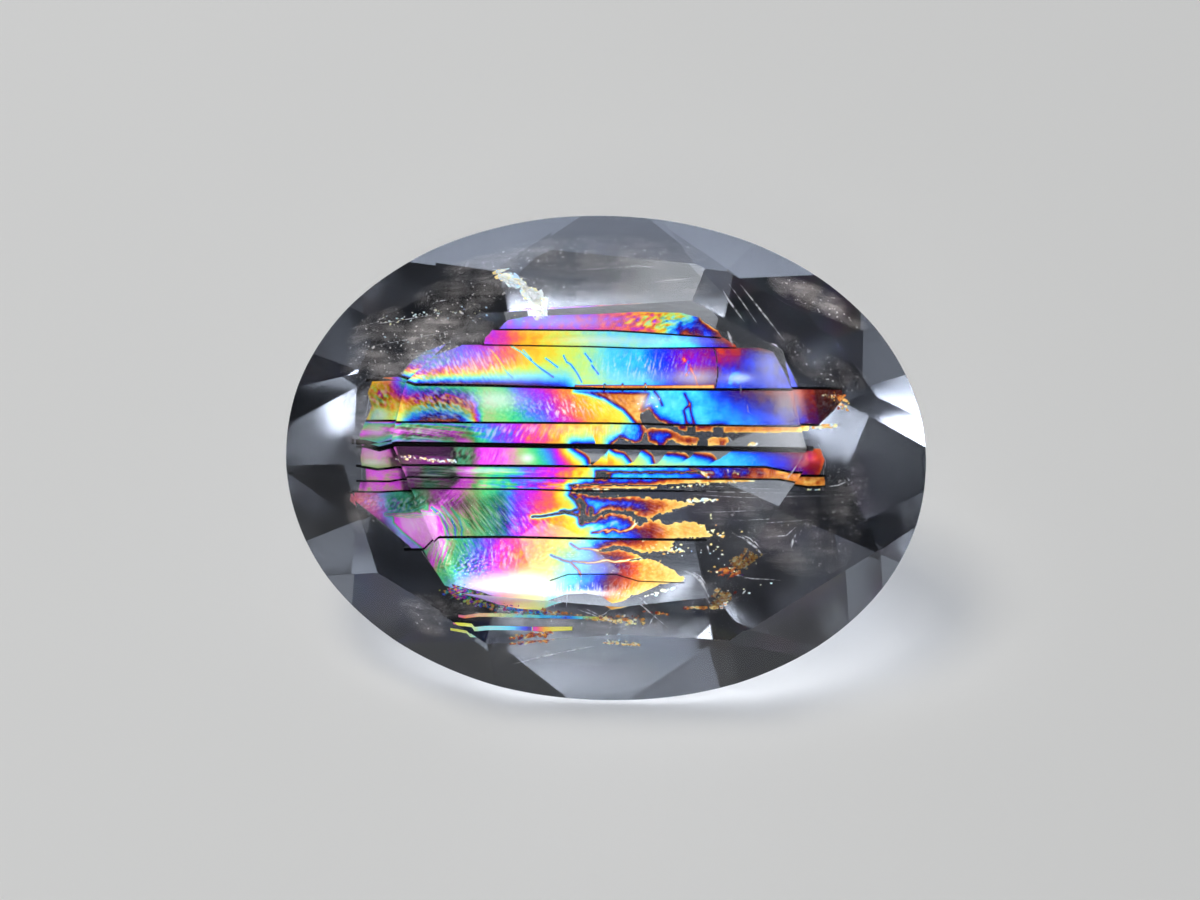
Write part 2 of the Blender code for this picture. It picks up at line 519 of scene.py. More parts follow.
# The steps between the levels, from the top, in the parting frame.
STEPS: dict[str, Step] = {
    "brow": Step(17, Level.HIGH, ((-1620, 1850), (55, 1835), (635, 1800), (1650, 1730))),
    "ribbon": Step(14, Level.HIGH, ((-1780, 1630), (-235, 1605), (490, 1580), (1445, 1590), (1865, 1585))),
    "broad": Step(32, Level.MIDDLE, (
        (-3390, 1105), (-2910, 1120), (-2750, 1060), (-1665, 1045), (55, 995), (1560, 990), (3325, 990),
    )),
    "field": Step(23, Level.MIDDLE, ((-3390, 525), (55, 505), (565, 495), (1070, 480), (2980, 460))),
    "wide": Step(67, Level.HIGH, (
        (-3535, 225), (-3390, 215), (-3185, 165), (-3010, 210), (55, 170), (2895, 120),
    )),
    "tooth": Step(29, Level.HIGH, (
        (-3535, -80), (-3215, -130), (-2925, -95), (55, -115), (2285, -120), (2660, -200), (3095, -210),
    )),
    "hem": Step(22, Level.MIDDLE, (
        (-3535, -300), (-3040, -300), (-2850, -265), (-1665, -280), (55, -285), (2475, -300), (2835, -365),
        (3095, -360),
    )),
    "basin": Step(19, Level.MIDDLE, (
        (-3620, -455), (-3185, -455), (-2795, -430), (-1070, -445), (-380, -465), (490, -465), (1705, -470),
    )),
    "fan": Step(29, Level.HIGH, (
        (-2840, -1280), (-2550, -1275), (-2405, -1130), (-1480, -1125), (55, -1155), (1445, -1170),
    )),
    "apron": Step(9, Level.HIGH, ((-810, -1755), (-535, -1660), (145, -1665), (460, -1760), (1125, -1785))),
}

# Where the broad level ends and the shoulder beside it begins.
BREAK: Route = ((1535, 1640), (1590, 1425), (1605, 1205), (1560, 960))

# The levels of the parting, from the top, in the parting frame.
TERRACES: dict[str, Terrace] = {
    "brow": Terrace(
        level=Level.MIDDLE,
        upper=(
            (-1825, 1800), (-1465, 1975), (-1100, 2045), (-90, 2075), (490, 2105), (1070, 2090),
            (1400, 2005), (1940, 1685),
        ),
        lower=STEPS["brow"].route,
        gap_above=(
            (-1825, 1180), (-665, 1120), (-90, 1060), (490, 960), (850, 880), (1215, 820), (1430, 640),
            (1795, 540),
        ),
        gap_below=(
            (-1825, 1130), (-665, 1080), (-90, 1040), (345, 1000), (780, 900), (1070, 480), (1285, 450),
            (1415, 640), (1795, 520),
        ),
        wander=60,
        left=((-1360, 2030), (-1465, 1945), (-1565, 1830)),
        right=((1360, 2030), (1590, 1860), (1705, 1685)),
    ),
    "ribbon": Terrace(
        level=Level.HIGH,
        upper=STEPS["brow"].route,
        lower=STEPS["ribbon"].route,
        gap_above=(
            (-1825, 1060), (-1465, 1030), (-1245, 940), (-665, 860), (-305, 800), (-90, 765), (490, 745),
            (925, 705), (1215, 650), (1430, 590), (1675, 520), (1910, 450),
        ),
        gap_below=(
            (-1825, 1080), (-1465, 1030), (-1245, 940), (-665, 870), (-305, 830), (-90, 780), (490, 765),
            (925, 720), (1215, 680), (1430, 610), (1675, 560), (1910, 480),
        ),
        wander=25,
        left=((-1620, 1860), (-1740, 1740), (-1765, 1625)),
        right=((1675, 1740), (1820, 1655), (1940, 1570)),
    ),
    "broad": Terrace(
        level=Level.MIDDLE,
        upper=STEPS["ribbon"].route,
        lower=STEPS["broad"].route,
        gap_above=(
            (-2910, 1360), (-2620, 1300), (-2330, 1200), (-2040, 1130), (-1680, 1050), (-1390, 980),
            (-1175, 930), (-955, 900), (-520, 850), (-235, 805), (-15, 750), (200, 705), (490, 690),
            (735, 610), (925, 560), (1100, 540), (1360, 534), (1575, 530),
        ),
        gap_below=(
            (-2910, 560), (-2620, 460), (-2330, 430), (-1535, 450), (-955, 500), (-595, 560), (-380, 840),
            (-235, 850), (55, 815), (345, 785), (635, 740), (810, 680), (1010, 580), (1215, 546),
            (1575, 536),
        ),
        wander=14,
        bend=3.0,
        left=(
            (-2085, 1625), (-2230, 1570), (-2405, 1510), (-2575, 1455), (-2720, 1335), (-2840, 1190),
            (-2895, 1075),
        ),
        right=BREAK,
    ),
    "shoulder": Terrace(
        level=Level.MIDDLE,
        upper=STEPS["ribbon"].route,
        lower=STEPS["broad"].route,
        gap_above=((1475, 535), (1675, 480), (1910, 500), (2080, 580), (2660, 600)),
        gap_below=((1475, 560), (1675, 640), (2010, 620), (2660, 600)),
        wander=25,
        left=BREAK,
        right=((2010, 1640), (2400, 1540), (2560, 1250), (2690, 960)),
    ),
    "field": Terrace(
        level=Level.LOW,
        upper=STEPS["broad"].route,
        lower=STEPS["field"].route,
        gap_above=(
            (-3390, 900), (-3055, 950), (-2840, 1310), (-2405, 1330), (-1970, 1380), (-1680, 1390),
            (-1490, 1330), (-1275, 1150), (-885, 1040), (-640, 960), (-380, 900), (-90, 840), (200, 790),
            (635, 740), (1070, 715), (1360, 690), (1620, 600), (1940, 528), (2370, 480), (2805, 465),
            (3385, 480),
        ),
        gap_below=(
            (-3390, 900), (-2985, 850), (-2780, 560), (-2550, 440), (-2115, 450), (-1910, 800),
            (-1755, 1420), (-1465, 1380), (-1245, 1290), (-885, 1190), (-665, 1060), (-450, 1010),
            (-235, 950), (200, 890), (420, 820), (780, 750), (1360, 740), (1940, 705), (2370, 655),
            (2805, 560), (3385, 470),
        ),
        wander=20,
        left=((-3300, 1075), (-3360, 920), (-3300, 730), (-3390, 500)),
        right=((3315, 1020), (3355, 845), (3210, 670), (2980, 455)),
    ),
    "second": Terrace(
        level=Level.MIDDLE,
        upper=STEPS["field"].route,
        lower=STEPS["wide"].route,
        gap_above=(
            (-3505, 1150), (-3055, 1180), (-2550, 1150), (-1970, 1210), (-1535, 1130), (-1100, 1020),
            (-665, 930), (-90, 890), (130, 840), (345, 740), (635, 710), (925, 640), (1360, 560),
            (1795, 420), (2805, 400),
        ),
        gap_below=(
            (-3505, 1900), (-3055, 2150), (-2550, 2200), (-2185, 1900), (-1855, 1350), (-1535, 1180),
            (-1100, 1030), (-665, 960), (-90, 930), (130, 860), (345, 740), (635, 700), (995, 480),
            (1360, 560), (1535, 420), (1705, 560), (2805, 380),
        ),
        wander=40,
        left=((-3400, 500), (-3475, 325), (-3490, 180)),
        right=((2850, 500), (2775, 180)),
    ),
    "teeth": Terrace(
        level=Level.HIGH,
        upper=STEPS["wide"].route,
        lower=STEPS["tooth"].route,
        gap_above=(
            (-3505, 1560), (-3055, 1560), (-2550, 1580), (-2260, 1640), (-2115, 1850), (-1940, 1800),
            (-1795, 1600), (-1535, 1560), (-1320, 1480), (-1100, 1350), (-930, 1220), (-785, 1120),
            (-640, 1000), (-450, 870), (-235, 760), (15, 700), (25, 970), (115, 960), (130, 910),
            (375, 880), (490, 850), (505, 840), (850, 830), (880, 800), (1260, 780), (1285, 740),
            (1720, 720), (2010, 680), (2300, 610), (2545, 560), (2735, 520), (2895, 500), (3065, 450),
        ),
        gap_below=(
            (-3505, 1400), (-3055, 1420), (-2550, 1580), (-2260, 1640), (-2115, 1850), (-1940, 1800),
            (-1795, 1600), (-1535, 1560), (-1320, 1480), (-1100, 1400), (-885, 1280), (-725, 1180),
            (-580, 1060), (-380, 950), (-220, 860), (-205, 985), (100, 960), (115, 925), (375, 890),
            (390, 860), (710, 850), (720, 830), (1185, 800), (1215, 770), (1590, 750), (1620, 730),
            (2010, 700), (2300, 630), (2545, 580), (2735, 535), (2895, 505), (3065, 455),
        ),
        wander=15,
        left=((-3445, 180), (-3475, 35), (-3445, -140)),
        right=((2980, 180), (3065, -50), (2980, -255)),
    ),
    "hem": Terrace(
        level=Level.MIDDLE,
        upper=STEPS["tooth"].route,
        lower=STEPS["hem"].route,
        gap_above=(
            (-3505, 1600), (-2910, 1560), (-2550, 1850), (-2185, 1800), (-1825, 1350), (-1390, 1200),
            (-1030, 1120), (-665, 1040), (-380, 960), (-90, 760), (635, 720), (1215, 680), (1505, 610),
            (1940, 550), (2300, 450), (3065, 400),
        ),
        gap_below=(
            (-3505, 1480), (-2910, 1500), (-2550, 1850), (-2185, 1780), (-1825, 1400), (-1390, 1250),
            (-1030, 1100), (-665, 1000), (-380, 940), (-90, 740), (635, 700), (1215, 660), (1505, 590),
            (1940, 530), (2300, 430), (3065, 390),
        ),
        wander=60,
        left=((-3400, -80), (-3390, -170), (-3400, -315)),
        right=((3065, -170), (3095, -315), (3050, -430)),
    ),
    "low hem": Terrace(
        level=Level.LOW,
        upper=STEPS["hem"].route,
        lower=STEPS["basin"].route,
        gap_above=(
            (-3560, 1600), (-2910, 1560), (-2550, 1850), (-2185, 1700), (-1825, 1400), (-1390, 1250),
            (-1030, 1100), (-665, 1000), (-380, 920), (-290, 740), (-90, 720), (635, 640), (850, 480),
            (1360, 420), (2080, 380),
        ),
        gap_below=(
            (-3560, 1480), (-2910, 1500), (-2550, 1850), (-2185, 1650), (-1825, 1380), (-1390, 1250),
            (-1030, 1100), (-665, 980), (-495, 900), (-480, 740), (-235, 700), (55, 560), (345, 440),
            (1215, 400),
        ),
        wander=90,
        left=((-3475, -285), (-3490, -385), (-3535, -470)),
        right=((2155, -285), (2080, -470)),
    ),
    "basin": Terrace(
        level=Level.MIDDLE,
        upper=STEPS["basin"].route,
        lower=STEPS["fan"].route,
        gap_above=(
            (-3635, 2230), (-3270, 2120), (-3055, 1950), (-2765, 1860), (-2475, 1680), (-2185, 1580),
            (-2025, 1470), (-1825, 1390), (-1680, 1330), (-1535, 1270), (-1360, 1190), (-1245, 1130),
            (-1070, 1050), (-855, 990), (-665, 930), (-450, 850), (-235, 770), (55, 710), (315, 650),
            (490, 590), (710, 490), (895, 430), (1575, 380),
        ),
        gap_below=(
            (-3635, 2230), (-3200, 2180), (-2985, 2080), (-2620, 2050), (-2445, 1800), (-2290, 1560),
            (-2085, 1450), (-1825, 1360), (-1610, 1270), (-1435, 1180), (-1305, 1090), (-1100, 1040),
            (-810, 970), (-520, 920), (-235, 850), (-15, 750), (230, 690), (460, 600), (605, 530),
            (750, 460), (955, 415), (1575, 385),
        ),
        wander=25,
        left=((-3560, -430), (-3590, -575), (-3390, -720), (-3125, -920), (-2925, -1095), (-2695, -1295)),
        right=((1705, -430), (1735, -1180)),
    ),
    "fan": Terrace(
        level=Level.HIGH,
        upper=STEPS["fan"].route,
        lower=(
            (-2550, -1730), (-2330, -1760), (-2145, -1820), (-1825, -1905), (-1535, -2005), (-1245, -2065),
            (-940, -2085), (-785, -2020), (-580, -1950), (-290, -1935), (-75, -1975), (85, -2080),
            (230, -2050), (490, -1935), (780, -1805), (1125, -1760),
        ),
        gap_above=(
            (-2575, 2000), (-2405, 1750), (-2290, 1500), (-2145, 1360), (-2000, 1280), (-1855, 1190),
            (-1710, 1120), (-1535, 1060), (-1245, 1000), (-885, 930), (-520, 850), (-235, 770), (-60, 710),
            (170, 640), (315, 590), (460, 520), (605, 450), (780, 410), (1360, 375),
        ),
        gap_below=(
            (-2575, 1500), (-2330, 1300), (-2115, 1200), (-1895, 1120), (-1680, 1080), (-1465, 1000),
            (-1100, 890), (-810, 780), (-625, 710), (-435, 655), (-260, 605), (-90, 545), (25, 455),
            (130, 405), (300, 390), (850, 380), (1215, 375),
        ),
        wander=22,
        left=((-2575, -1125), (-2550, -1295), (-2460, -1470), (-2345, -1645), (-2230, -1820)),
        right=((1215, -1125), (1245, -2105)),
    ),
    "train one": Terrace(
        level=Level.MIDDLE,
        upper=((-2115, -2160), (-2025, -2170), (-1825, -2135), (-1535, -2135), (-955, -2160), (-90, -2185)),
        lower=((-2115, -2195), (-2025, -2215), (-1825, -2190), (-1535, -2190), (-955, -2205), (-90, -2225)),
        gap_above=(
            (-2115, 1020), (-2025, 1000), (-1825, 930), (-1535, 860), (-1245, 780), (-885, 740),
            (-520, 680), (-90, 930),
        ),
        gap_below=(
            (-2115, 1020), (-2025, 990), (-1825, 920), (-1535, 850), (-1245, 760), (-885, 720), (-520, 640),
            (-90, 900),
        ),
        wander=30,
    ),
    "train two": Terrace(
        level=Level.MIDDLE,
        upper=(
            (-2170, -2275), (-1925, -2295), (-1885, -2345), (-1680, -2325), (-1245, -2335), (-885, -2340),
            (-480, -2335),
        ),
        lower=(
            (-2170, -2320), (-1925, -2345), (-1885, -2410), (-1680, -2390), (-1245, -2390), (-885, -2410),
            (-480, -2390),
        ),
        gap_above=(
            (-2185, 870), (-1940, 850), (-1825, 780), (-1535, 740), (-1320, 700), (-1160, 600),
            (-1070, 560), (-1045, 1060), (-885, 940), (-740, 890), (-480, 870),
        ),
        gap_below=(
            (-2185, 870), (-1940, 850), (-1825, 770), (-1535, 740), (-1320, 700), (-1160, 600),
            (-1070, 560), (-1045, 1050), (-885, 930), (-740, 880), (-480, 870),
        ),
        wander=12,
    ),
}

# Where the gap is closed: the ragged right, the notches and the islands' surroundings.
CLOSURES: tuple[Closure, ...] = (
    Closure((
        (-480, -445), (-480, -485), (-275, -520), (-90, -545), (160, -550), (375, -545), (735, -570),
        (970, -590), (1155, -625), (1285, -645), (1185, -690), (1010, -720), (940, -775), (795, -795),
        (665, -850), (565, -865), (460, -825), (345, -755), (215, -755), (40, -730), (-60, -795),
        (-30, -835), (40, -775), (230, -805), (345, -840), (445, -915), (475, -965), (565, -915),
        (650, -875), (765, -890), (880, -955), (1040, -915), (1185, -890), (1330, -915), (1400, -965),
        (1475, -1050), (1545, -1110), (1430, -1165), (1430, -1195), (2515, -1195), (2515, -445),
    ), 101, 25, 36),
    Closure((
        (-75, -1320), (40, -1275), (160, -1255), (345, -1290), (520, -1355), (635, -1360), (780, -1340),
        (925, -1310), (985, -1255), (955, -1150), (2805, -1150), (2805, -2340), (85, -2340), (85, -2095),
        (230, -2065), (375, -1975), (590, -1910), (780, -1820), (1125, -1765), (1185, -1745), (1115, -1715),
        (970, -1600), (865, -1545), (780, -1470), (650, -1450), (535, -1425), (390, -1345), (160, -1305),
        (-15, -1335),
    ), 116, 25, 36),
    Closure((
        (505, 645), (615, 710), (660, 635), (750, 535), (840, 500), (895, 440), (565, 440), (490, 570),
    ), 80, 12, 29),
    Closure((
        (85, 150), (115, 215), (200, 290), (315, 250), (405, 215), (505, 235), (535, 310), (570, 380),
        (590, 310), (605, 235), (710, 195), (710, 150),
    ), 58, 12, 29),
    Closure((
        (565, 500), (605, 470), (880, 440), (1025, 380), (1125, 330), (1325, 315), (1345, 265), (1300, 195),
        (1125, 180), (1010, 215), (955, 265), (895, 260), (840, 180), (840, 95), (1575, 95), (1460, 180),
        (1445, 265), (1505, 315), (1750, 315), (1765, 250), (1720, 180), (2010, 165), (4255, 165),
        (2805, 370), (1675, 365), (1675, 455), (1545, 445), (1535, 380), (1285, 380), (1270, 445),
        (1170, 455), (1170, 390), (1040, 395), (1025, 455),
    ), 72, 13, 29),
    Closure((
        (-465, 180), (-380, 125), (-290, 80), (-230, 15), (-205, -90), (25, 115), (40, 180),
    ), 130, 2, 43, sheer=3),
    Closure((
        (85, 180), (145, 130), (275, 95), (345, 15), (390, -45), (495, 105), (505, 180),
    ), 101, 2, 43, sheer=3),
    Closure(((550, 180), (605, 115), (680, 50), (720, -75), (880, 105), (895, 180)), 101, 3, 43, sheer=3),
    Closure((
        (985, 180), (1055, 115), (1155, 80), (1205, 15), (1280, 105), (1285, 180),
    ), 101, 3, 43, sheer=3),
    Closure((
        (1360, 180), (1430, 115), (1545, 65), (1605, -15), (1750, 85), (1810, 120), (1835, 180),
    ), 116, 3, 43, sheer=4),
    Closure(((1880, 180), (1925, 125), (1965, 180)), 43, 3, 43, sheer=2),
    Closure(((-140, -210), (-140, -300), (0, -300), (55, -240), (-30, -195)), 36, 12, 29),
    Closure(((735, -385), (735, -485), (2225, -485), (2225, -340), (1360, -355)), 43, 12, 29),
    Closure(((-290, -430), (-290, -485), (780, -485), (750, -445)), 29, 9, 29),
    Closure((
        (1360, 2005), (1720, 1770), (2225, 1625), (2805, 1570), (2805, 2290), (1360, 2290),
    ), 87, 14, 87),
)

# The cracks that branch through the levels.
CRACKS: tuple[Crack, ...] = (
    Crack(((-1060, -835), (-940, -835), (-785, -805), (-600, -775), (-405, -810), (-350, -870)), 7, 23),
    Crack(((-665, -755), (-495, -760), (-380, -720), (-435, -600), (-520, -530)), 7, 20),
    Crack(((-380, -600), (-320, -675), (-335, -790), (-350, -920)), 29, 43),
    Crack(((-220, -720), (-220, -835), (-160, -870), (-60, -775)), 19, 36),
    Crack(((-335, -835), (-260, -875), (-175, -865)), 38, 36),
    Crack(((435, -920), (375, -990), (290, -1035), (200, -1050), (85, -1020), (0, -1060)), 4, 26, 0.45),
    Crack(((-205, -1065), (-90, -1050), (15, -1020)), 4, 22, 0.45),
    Crack(((695, 960), (750, 890), (810, 760)), 3, 22, 0.3),
    Crack(((1125, 930), (1200, 785), (1115, 685), (1155, 510)), 3, 22, 0.3),
    Crack(((1200, 785), (1230, 615), (1260, 510)), 3, 22, 0.3),
    Crack(((-795, -1385), (-610, -1465), (-510, -1490), (-405, -1595), (-365, -1675)), 4, 14, 0.5),
    Crack(((-510, -1225), (-390, -1300), (-275, -1290), (-75, -1325)), 4, 14, 0.5),
    Crack(((-480, -1475), (-245, -1500), (20, -1460), (130, -1490), (490, -1440)), 4, 14, 0.5),
    Crack(((-60, -775), (55, -740)), 14, 29),
    Crack(((-1650, 1555), (-1550, 1425), (-1450, 1265), (-1335, 1150)), 1, 7, 0.2),
    Crack(((-1360, 1610), (-1215, 1525), (-1085, 1410), (-940, 1295), (-755, 1165)), 1, 9, 0.42),
    Crack(((-1190, 1555), (-1060, 1410)), 1, 7, 0.42),
    Crack(((-870, 1440), (-695, 1310)), 1, 9, 0.42),
    Crack(((-610, 1480), (-580, 1395), (-510, 1350), (-420, 1235), (-350, 1090)), 1, 9, 0.42),
    Crack(((-305, 1510), (-205, 1380)), 1, 9, 0.42),
    Crack(((-205, 1335), (-105, 1205)), 1, 9, 0.42),
    Crack(((1215, 1295), (1270, 1180), (1315, 1050)), 1, 9, 0.2),
    Crack(((-30, 1070), (-30, 975)), 5, 9),
    Crack(((235, 1070), (235, 975)), 4, 9),
    Crack(((565, 1070), (565, 975)), 5, 9),
    Crack(((1115, 1425), (1185, 1335), (1155, 1205)), 4, 20, 0.2),
    Crack(((-130, -195), (490, -200), (1215, -195), (1535, -210)), 6, 17),
    Crack(((-520, -380), (200, -385), (720, -390)), 6, 17),
    Crack(((1215, -140), (1315, -170), (1475, -270)), 6, 22),
    Crack(((-2505, -705), (-2360, -820), (-2290, -980), (-2275, -1135)), 6, 32, 0.35),
    Crack(((-2360, -690), (-2230, -835), (-2170, -995), (-2160, -1135)), 4, 26, 0.25),
    Crack(((-2215, -720), (-2115, -850), (-2070, -1005), (-2070, -1135)), 3, 23, 0.2),
    Crack(((-3100, -775), (-2810, -795), (-2405, -790)), 4, 12, 0.5),
)

# The flakes with gaps of their own.
PATCHES: tuple[Patch, ...] = (
    Patch((
        (-465, 965), (-90, 965), (490, 945), (605, 930), (550, 785), (505, 655), (490, 500), (435, 500),
        (245, 695), (-30, 860), (-260, 930),
    ), 480, 370, 58, 24),
    Patch((
        (-450, 1055), (490, 1050), (1315, 1050), (1545, 1055), (1560, 975), (-450, 985),
    ), 430, 390, 9, 15),
    Patch((
        (-2985, -760), (-2825, -760), (-2650, -740), (-2490, -775), (-2390, -995), (-2405, -1150),
        (-2520, -1280), (-2635, -1195), (-2840, -1035), (-2985, -890),
    ), 1590, 1530, 29, 22),
    Patch((
        (-3330, 510), (-3285, 645), (-3200, 710), (-3100, 685), (-2970, 540), (-2955, 500),
    ), 780, 860, 36, 20),
    Patch((
        (1750, 1075), (1765, 1180), (1820, 1235), (1895, 1245), (1950, 1205), (2010, 1215), (2080, 1165),
        (2025, 1115), (1940, 1100), (1895, 1055), (1835, 1105), (1795, 1050),
    ), 690, 650, 12, 4),
    Patch(((1135, 1395), (1190, 1395), (1195, 1220), (1140, 1220)), 640, 640, 12, 4),
    Patch((
        (330, 500), (565, 500), (895, 440), (955, 250), (810, 180), (665, 180), (490, 265), (375, 325),
        (230, 325), (145, 265), (85, 180), (55, 180),
    ), 740, 690, 14, 40),
)

# The darker places of the film, and, with amounts less than nothing, painted highlights.
SHADES_AND_HIGHLIGHTS: tuple[Spot, ...] = (
    Spot((1215, 1395), (347, 289), -4.2),
    Spot((490, 1480), (260, 116), -0.3),
    Spot((1820, 1455), (232, 203), -1.6),
    Spot((2735, -50), (318, 116), -1.3),
    Spot((375, -1555), (203, 174), -0.8),
    Spot((1360, 670), (868, 116), -0.2),
    Spot((-1245, -2310), (868, 87), -1.2),
    Spot((-1360, -2035), (637, 58), -1.4),
    Spot((-350, -1920), (434, 43), -2.2),
    Spot((-1535, -790), (232, 318), 0.2),
    Spot((-2475, 815), (232, 130), 0.3),
    Spot((-3270, 670), (145, 203), 0.25),
    Spot((-2185, -600), (232, 145), 0.3),
    Spot((-2230, -1295), (203, 174), 0.2),
    Spot((3210, 670), (289, 232), 0.5),
    Spot((-665, -600), (434, 145), 0.12),
    Spot((-885, -720), (810, 232), 0.22),
    Spot((-495, -1410), (637, 203), 0.38),
    Spot((-3215, 35), (174, 130), -0.5),
    Spot((-3170, -240), (174, 130), -0.5),
    Spot((-3360, -600), (232, 116), -0.5),
    Spot((-2840, -950), (232, 174), -0.35),
    Spot((-2085, -1960), (289, 72), 0.3),
)

# Paler places, white mixed into the film: partly painted highlights and sheens, partly washed-out film.
GLOWS: tuple[Spot, ...] = (
    # A painted highlight: the white-hot spot where the key lamp is mirrored in the film.
    Spot((-1360, -1830), (579, 145), 1.6),
    Spot((-1680, -2165), (434, 43), 0.7),
    Spot((-1680, -2355), (376, 43), 0.5),
    Spot((-665, -2355), (203, 29), 0.3),
    Spot((-1070, -1760), (289, 174), 0.5),
    Spot((-1565, 845), (347, 130), 0.75),
    Spot((490, 1165), (868, 87), 0.2),
    Spot((-1245, 1165), (492, 72), 0.35),
    Spot((-1970, 1380), (579, 203), 0.3),
    Spot((-3260, 95), (145, 58), 0.35),
    Spot((-3260, -25), (174, 43), 0.7),
    Spot((-3215, 380), (159, 101), 0.7),
    Spot((-3155, -195), (217, 72), 0.25),
    Spot((-3155, -385), (232, 58), 0.2),
    Spot((-3330, -590), (203, 101), 0.25),
    Spot((-3155, 600), (116, 72), 0.8),
    Spot((-450, -1960), (521, 43), 0.8),
    Spot((1910, 1155), (159, 58), 1.0),
    Spot((1300, 1165), (289, 101), 0.7),
    Spot((-725, 1975), (926, 116), 0.55),
    Spot((-160, 1700), (434, 58), 0.7),
    Spot((780, 1685), (724, 72), 0.45),
    Spot((2370, 1335), (232, 289), 0.45),
    Spot((2575, 775), (145, 260), 0.35),
    Spot((-1130, -2035), (347, 43), 0.5),
    Spot((-260, -1925), (289, 35), 1.0),
    Spot((-235, -1470), (347, 232), 0.1),
    Spot((-2750, -920), (174, 130), 0.35),
    Spot((-1535, -2425), (724, 72), 0.35),
    Spot((550, 815), (87, 101), 0.8),
    Spot((-2405, -1255), (72, 145), 0.4),
    Spot((-1130, 5), (87, 58), 1.0),
    Spot((55, 410), (145, 87), 0.1),
    Spot((-520, 410), (579, 72), 0.2),
    Spot((-1680, -170), (347, 29), 0.6),
    Spot((710, 845), (58, 72), 0.5),
)

# Where the parting is rough.
GRAINS: tuple[Grain, ...] = (
    Grain((-2290, 1335), (492, 217), (116, 25), -64.0, 130, 0.25, 0.75),
    Grain((-1710, 1365), (376, 203), (130, 27), -62.0, 80, 0.1, 0.7),
    Grain((-2635, 1220), (232, 159), (101, 23), -28.0, 150, 0.25, 0.7),
    Grain((-2405, 830), (405, 188), (87, 35), -42.0, 210, 0.95, 0.35),
    Grain((-1970, 815), (232, 174), (87, 32), -46.0, 120, 0.6, 0.3),
    Grain((-3155, 845), (203, 203), (101, 58), -60.0, 160, 0.6, 0.5),
    Grain((-2185, 600), (463, 58), (130, 35), -12.0, 120, 0.3, 0.3),
    Grain((-1245, 785), (434, 203), (46, 32), -60.0, 45, 0.25, 0.25),
    Grain((-640, 715), (376, 130), (116, 27), -66.0, 22, 0.0, 1.2),
    Grain((-235, 815), (434, 145), (159, 26), -44.0, 16, 0.0, 0.5),
    Grain((-2520, 380), (637, 130), (579, 25), -7.0, 300, 0.95, 0.3),
    Grain((-2810, 370), (289, 130), (101, 43), 25.0, 140, 0.6, 0.3),
    Grain((-1390, 380), (637, 116), (188, 35), 62.0, 55, 0.1, 0.55),
    Grain((-90, 370), (579, 101), (174, 20), 85.0, 10, 0.1, 0.35),
    Grain((-2085, 35), (260, 116), (87, 46), 60.0, 130, 0.8, 0.1),
    Grain((-1610, 35), (232, 116), (130, 32), 70.0, 70, 0.35, 0.2),
    Grain((-2405, -240), (579, 116), (376, 29), -4.0, 170, 0.7, 0.15),
    Grain((-1535, -195), (637, 58), (868, 27), -3.0, 170, 0.1, 0.45),
    Grain((-1100, -385), (868, 72), (376, 25), -3.0, 170, 0.35, 0.25),
    Grain((-2840, -645), (318, 116), (72, 43), 40.0, 170, 0.8, 0.35),
    Grain((-3330, -600), (203, 130), (58, 36), 20.0, 90, 0.4, 0.4),
    Grain((-2260, -600), (203, 130), (130, 29), 45.0, 140, 0.6, 0.1),
    Grain((-2330, -920), (174, 260), (376, 27), -58.0, 230, 0.3, 0.4),
    Grain((-1910, -835), (289, 289), (347, 22), -52.0, 110, 0.95, 0.15),
    Grain((-1535, -835), (289, 289), (289, 22), -50.0, 90, 0.8, 0.25),
    Grain((-1100, -920), (376, 203), (130, 35), -50.0, 55, 0.15, 0.35),
    Grain((-2695, -995), (232, 174), (203, 43), -62.0, 60, 0.0, 0.3),
    Grain((-2315, -1355), (130, 174), (347, 32), 72.0, 240, 0.2, 0.5),
    Grain((-2000, -1270), (289, 116), (145, 26), -60.0, 90, 0.4, 0.2),
    Grain((-1970, -1555), (347, 174), (46, 32), 30.0, 130, 0.75, 0.5),
    Grain((-1535, -1410), (347, 203), (130, 43), 80.0, 50, 0.1, 0.45),
    Grain((-810, -1355), (492, 232), (58, 38), 40.0, 22, 0.2, 0.2),
    Grain((-450, -1905), (521, 101), (174, 23), 86.0, 30, 0.1, 0.9),
    Grain((345, -1905), (434, 145), (116, 20), 60.0, 22, 0.2, 0.3),
    Grain((490, -720), (637, 130), (43, 26), -20.0, 22, 0.3, 0.15),
    Grain((895, -1035), (434, 130), (130, 19), -22.0, 24, 0.35, 0.2),
    Grain((490, -1545), (579, 174), (58, 32), 30.0, 16, 0.2, 0.15),
    Grain((-15, -965), (347, 232), (72, 49), 20.0, 40, 0.1, 0.3),
    Grain((490, 1325), (666, 145), (145, 29), 78.0, 8, 0.0, 0.75),
    Grain((780, 1975), (637, 130), (116, 49), 20.0, 190, 0.5, 0.25),
    Grain((1360, 265), (289, 87), (43, 29), 0.0, 20, 0.2, 0.2),
    Grain((3180, 785), (232, 174), (72, 29), 60.0, 60, 0.7, 0.1),
    Grain((2225, -225), (724, 43), (116, 29), -10.0, 14, 0.1, 0.2),
    Grain((-2695, 20), (434, 58), (58, 32), 30.0, 120, 0.7),
)
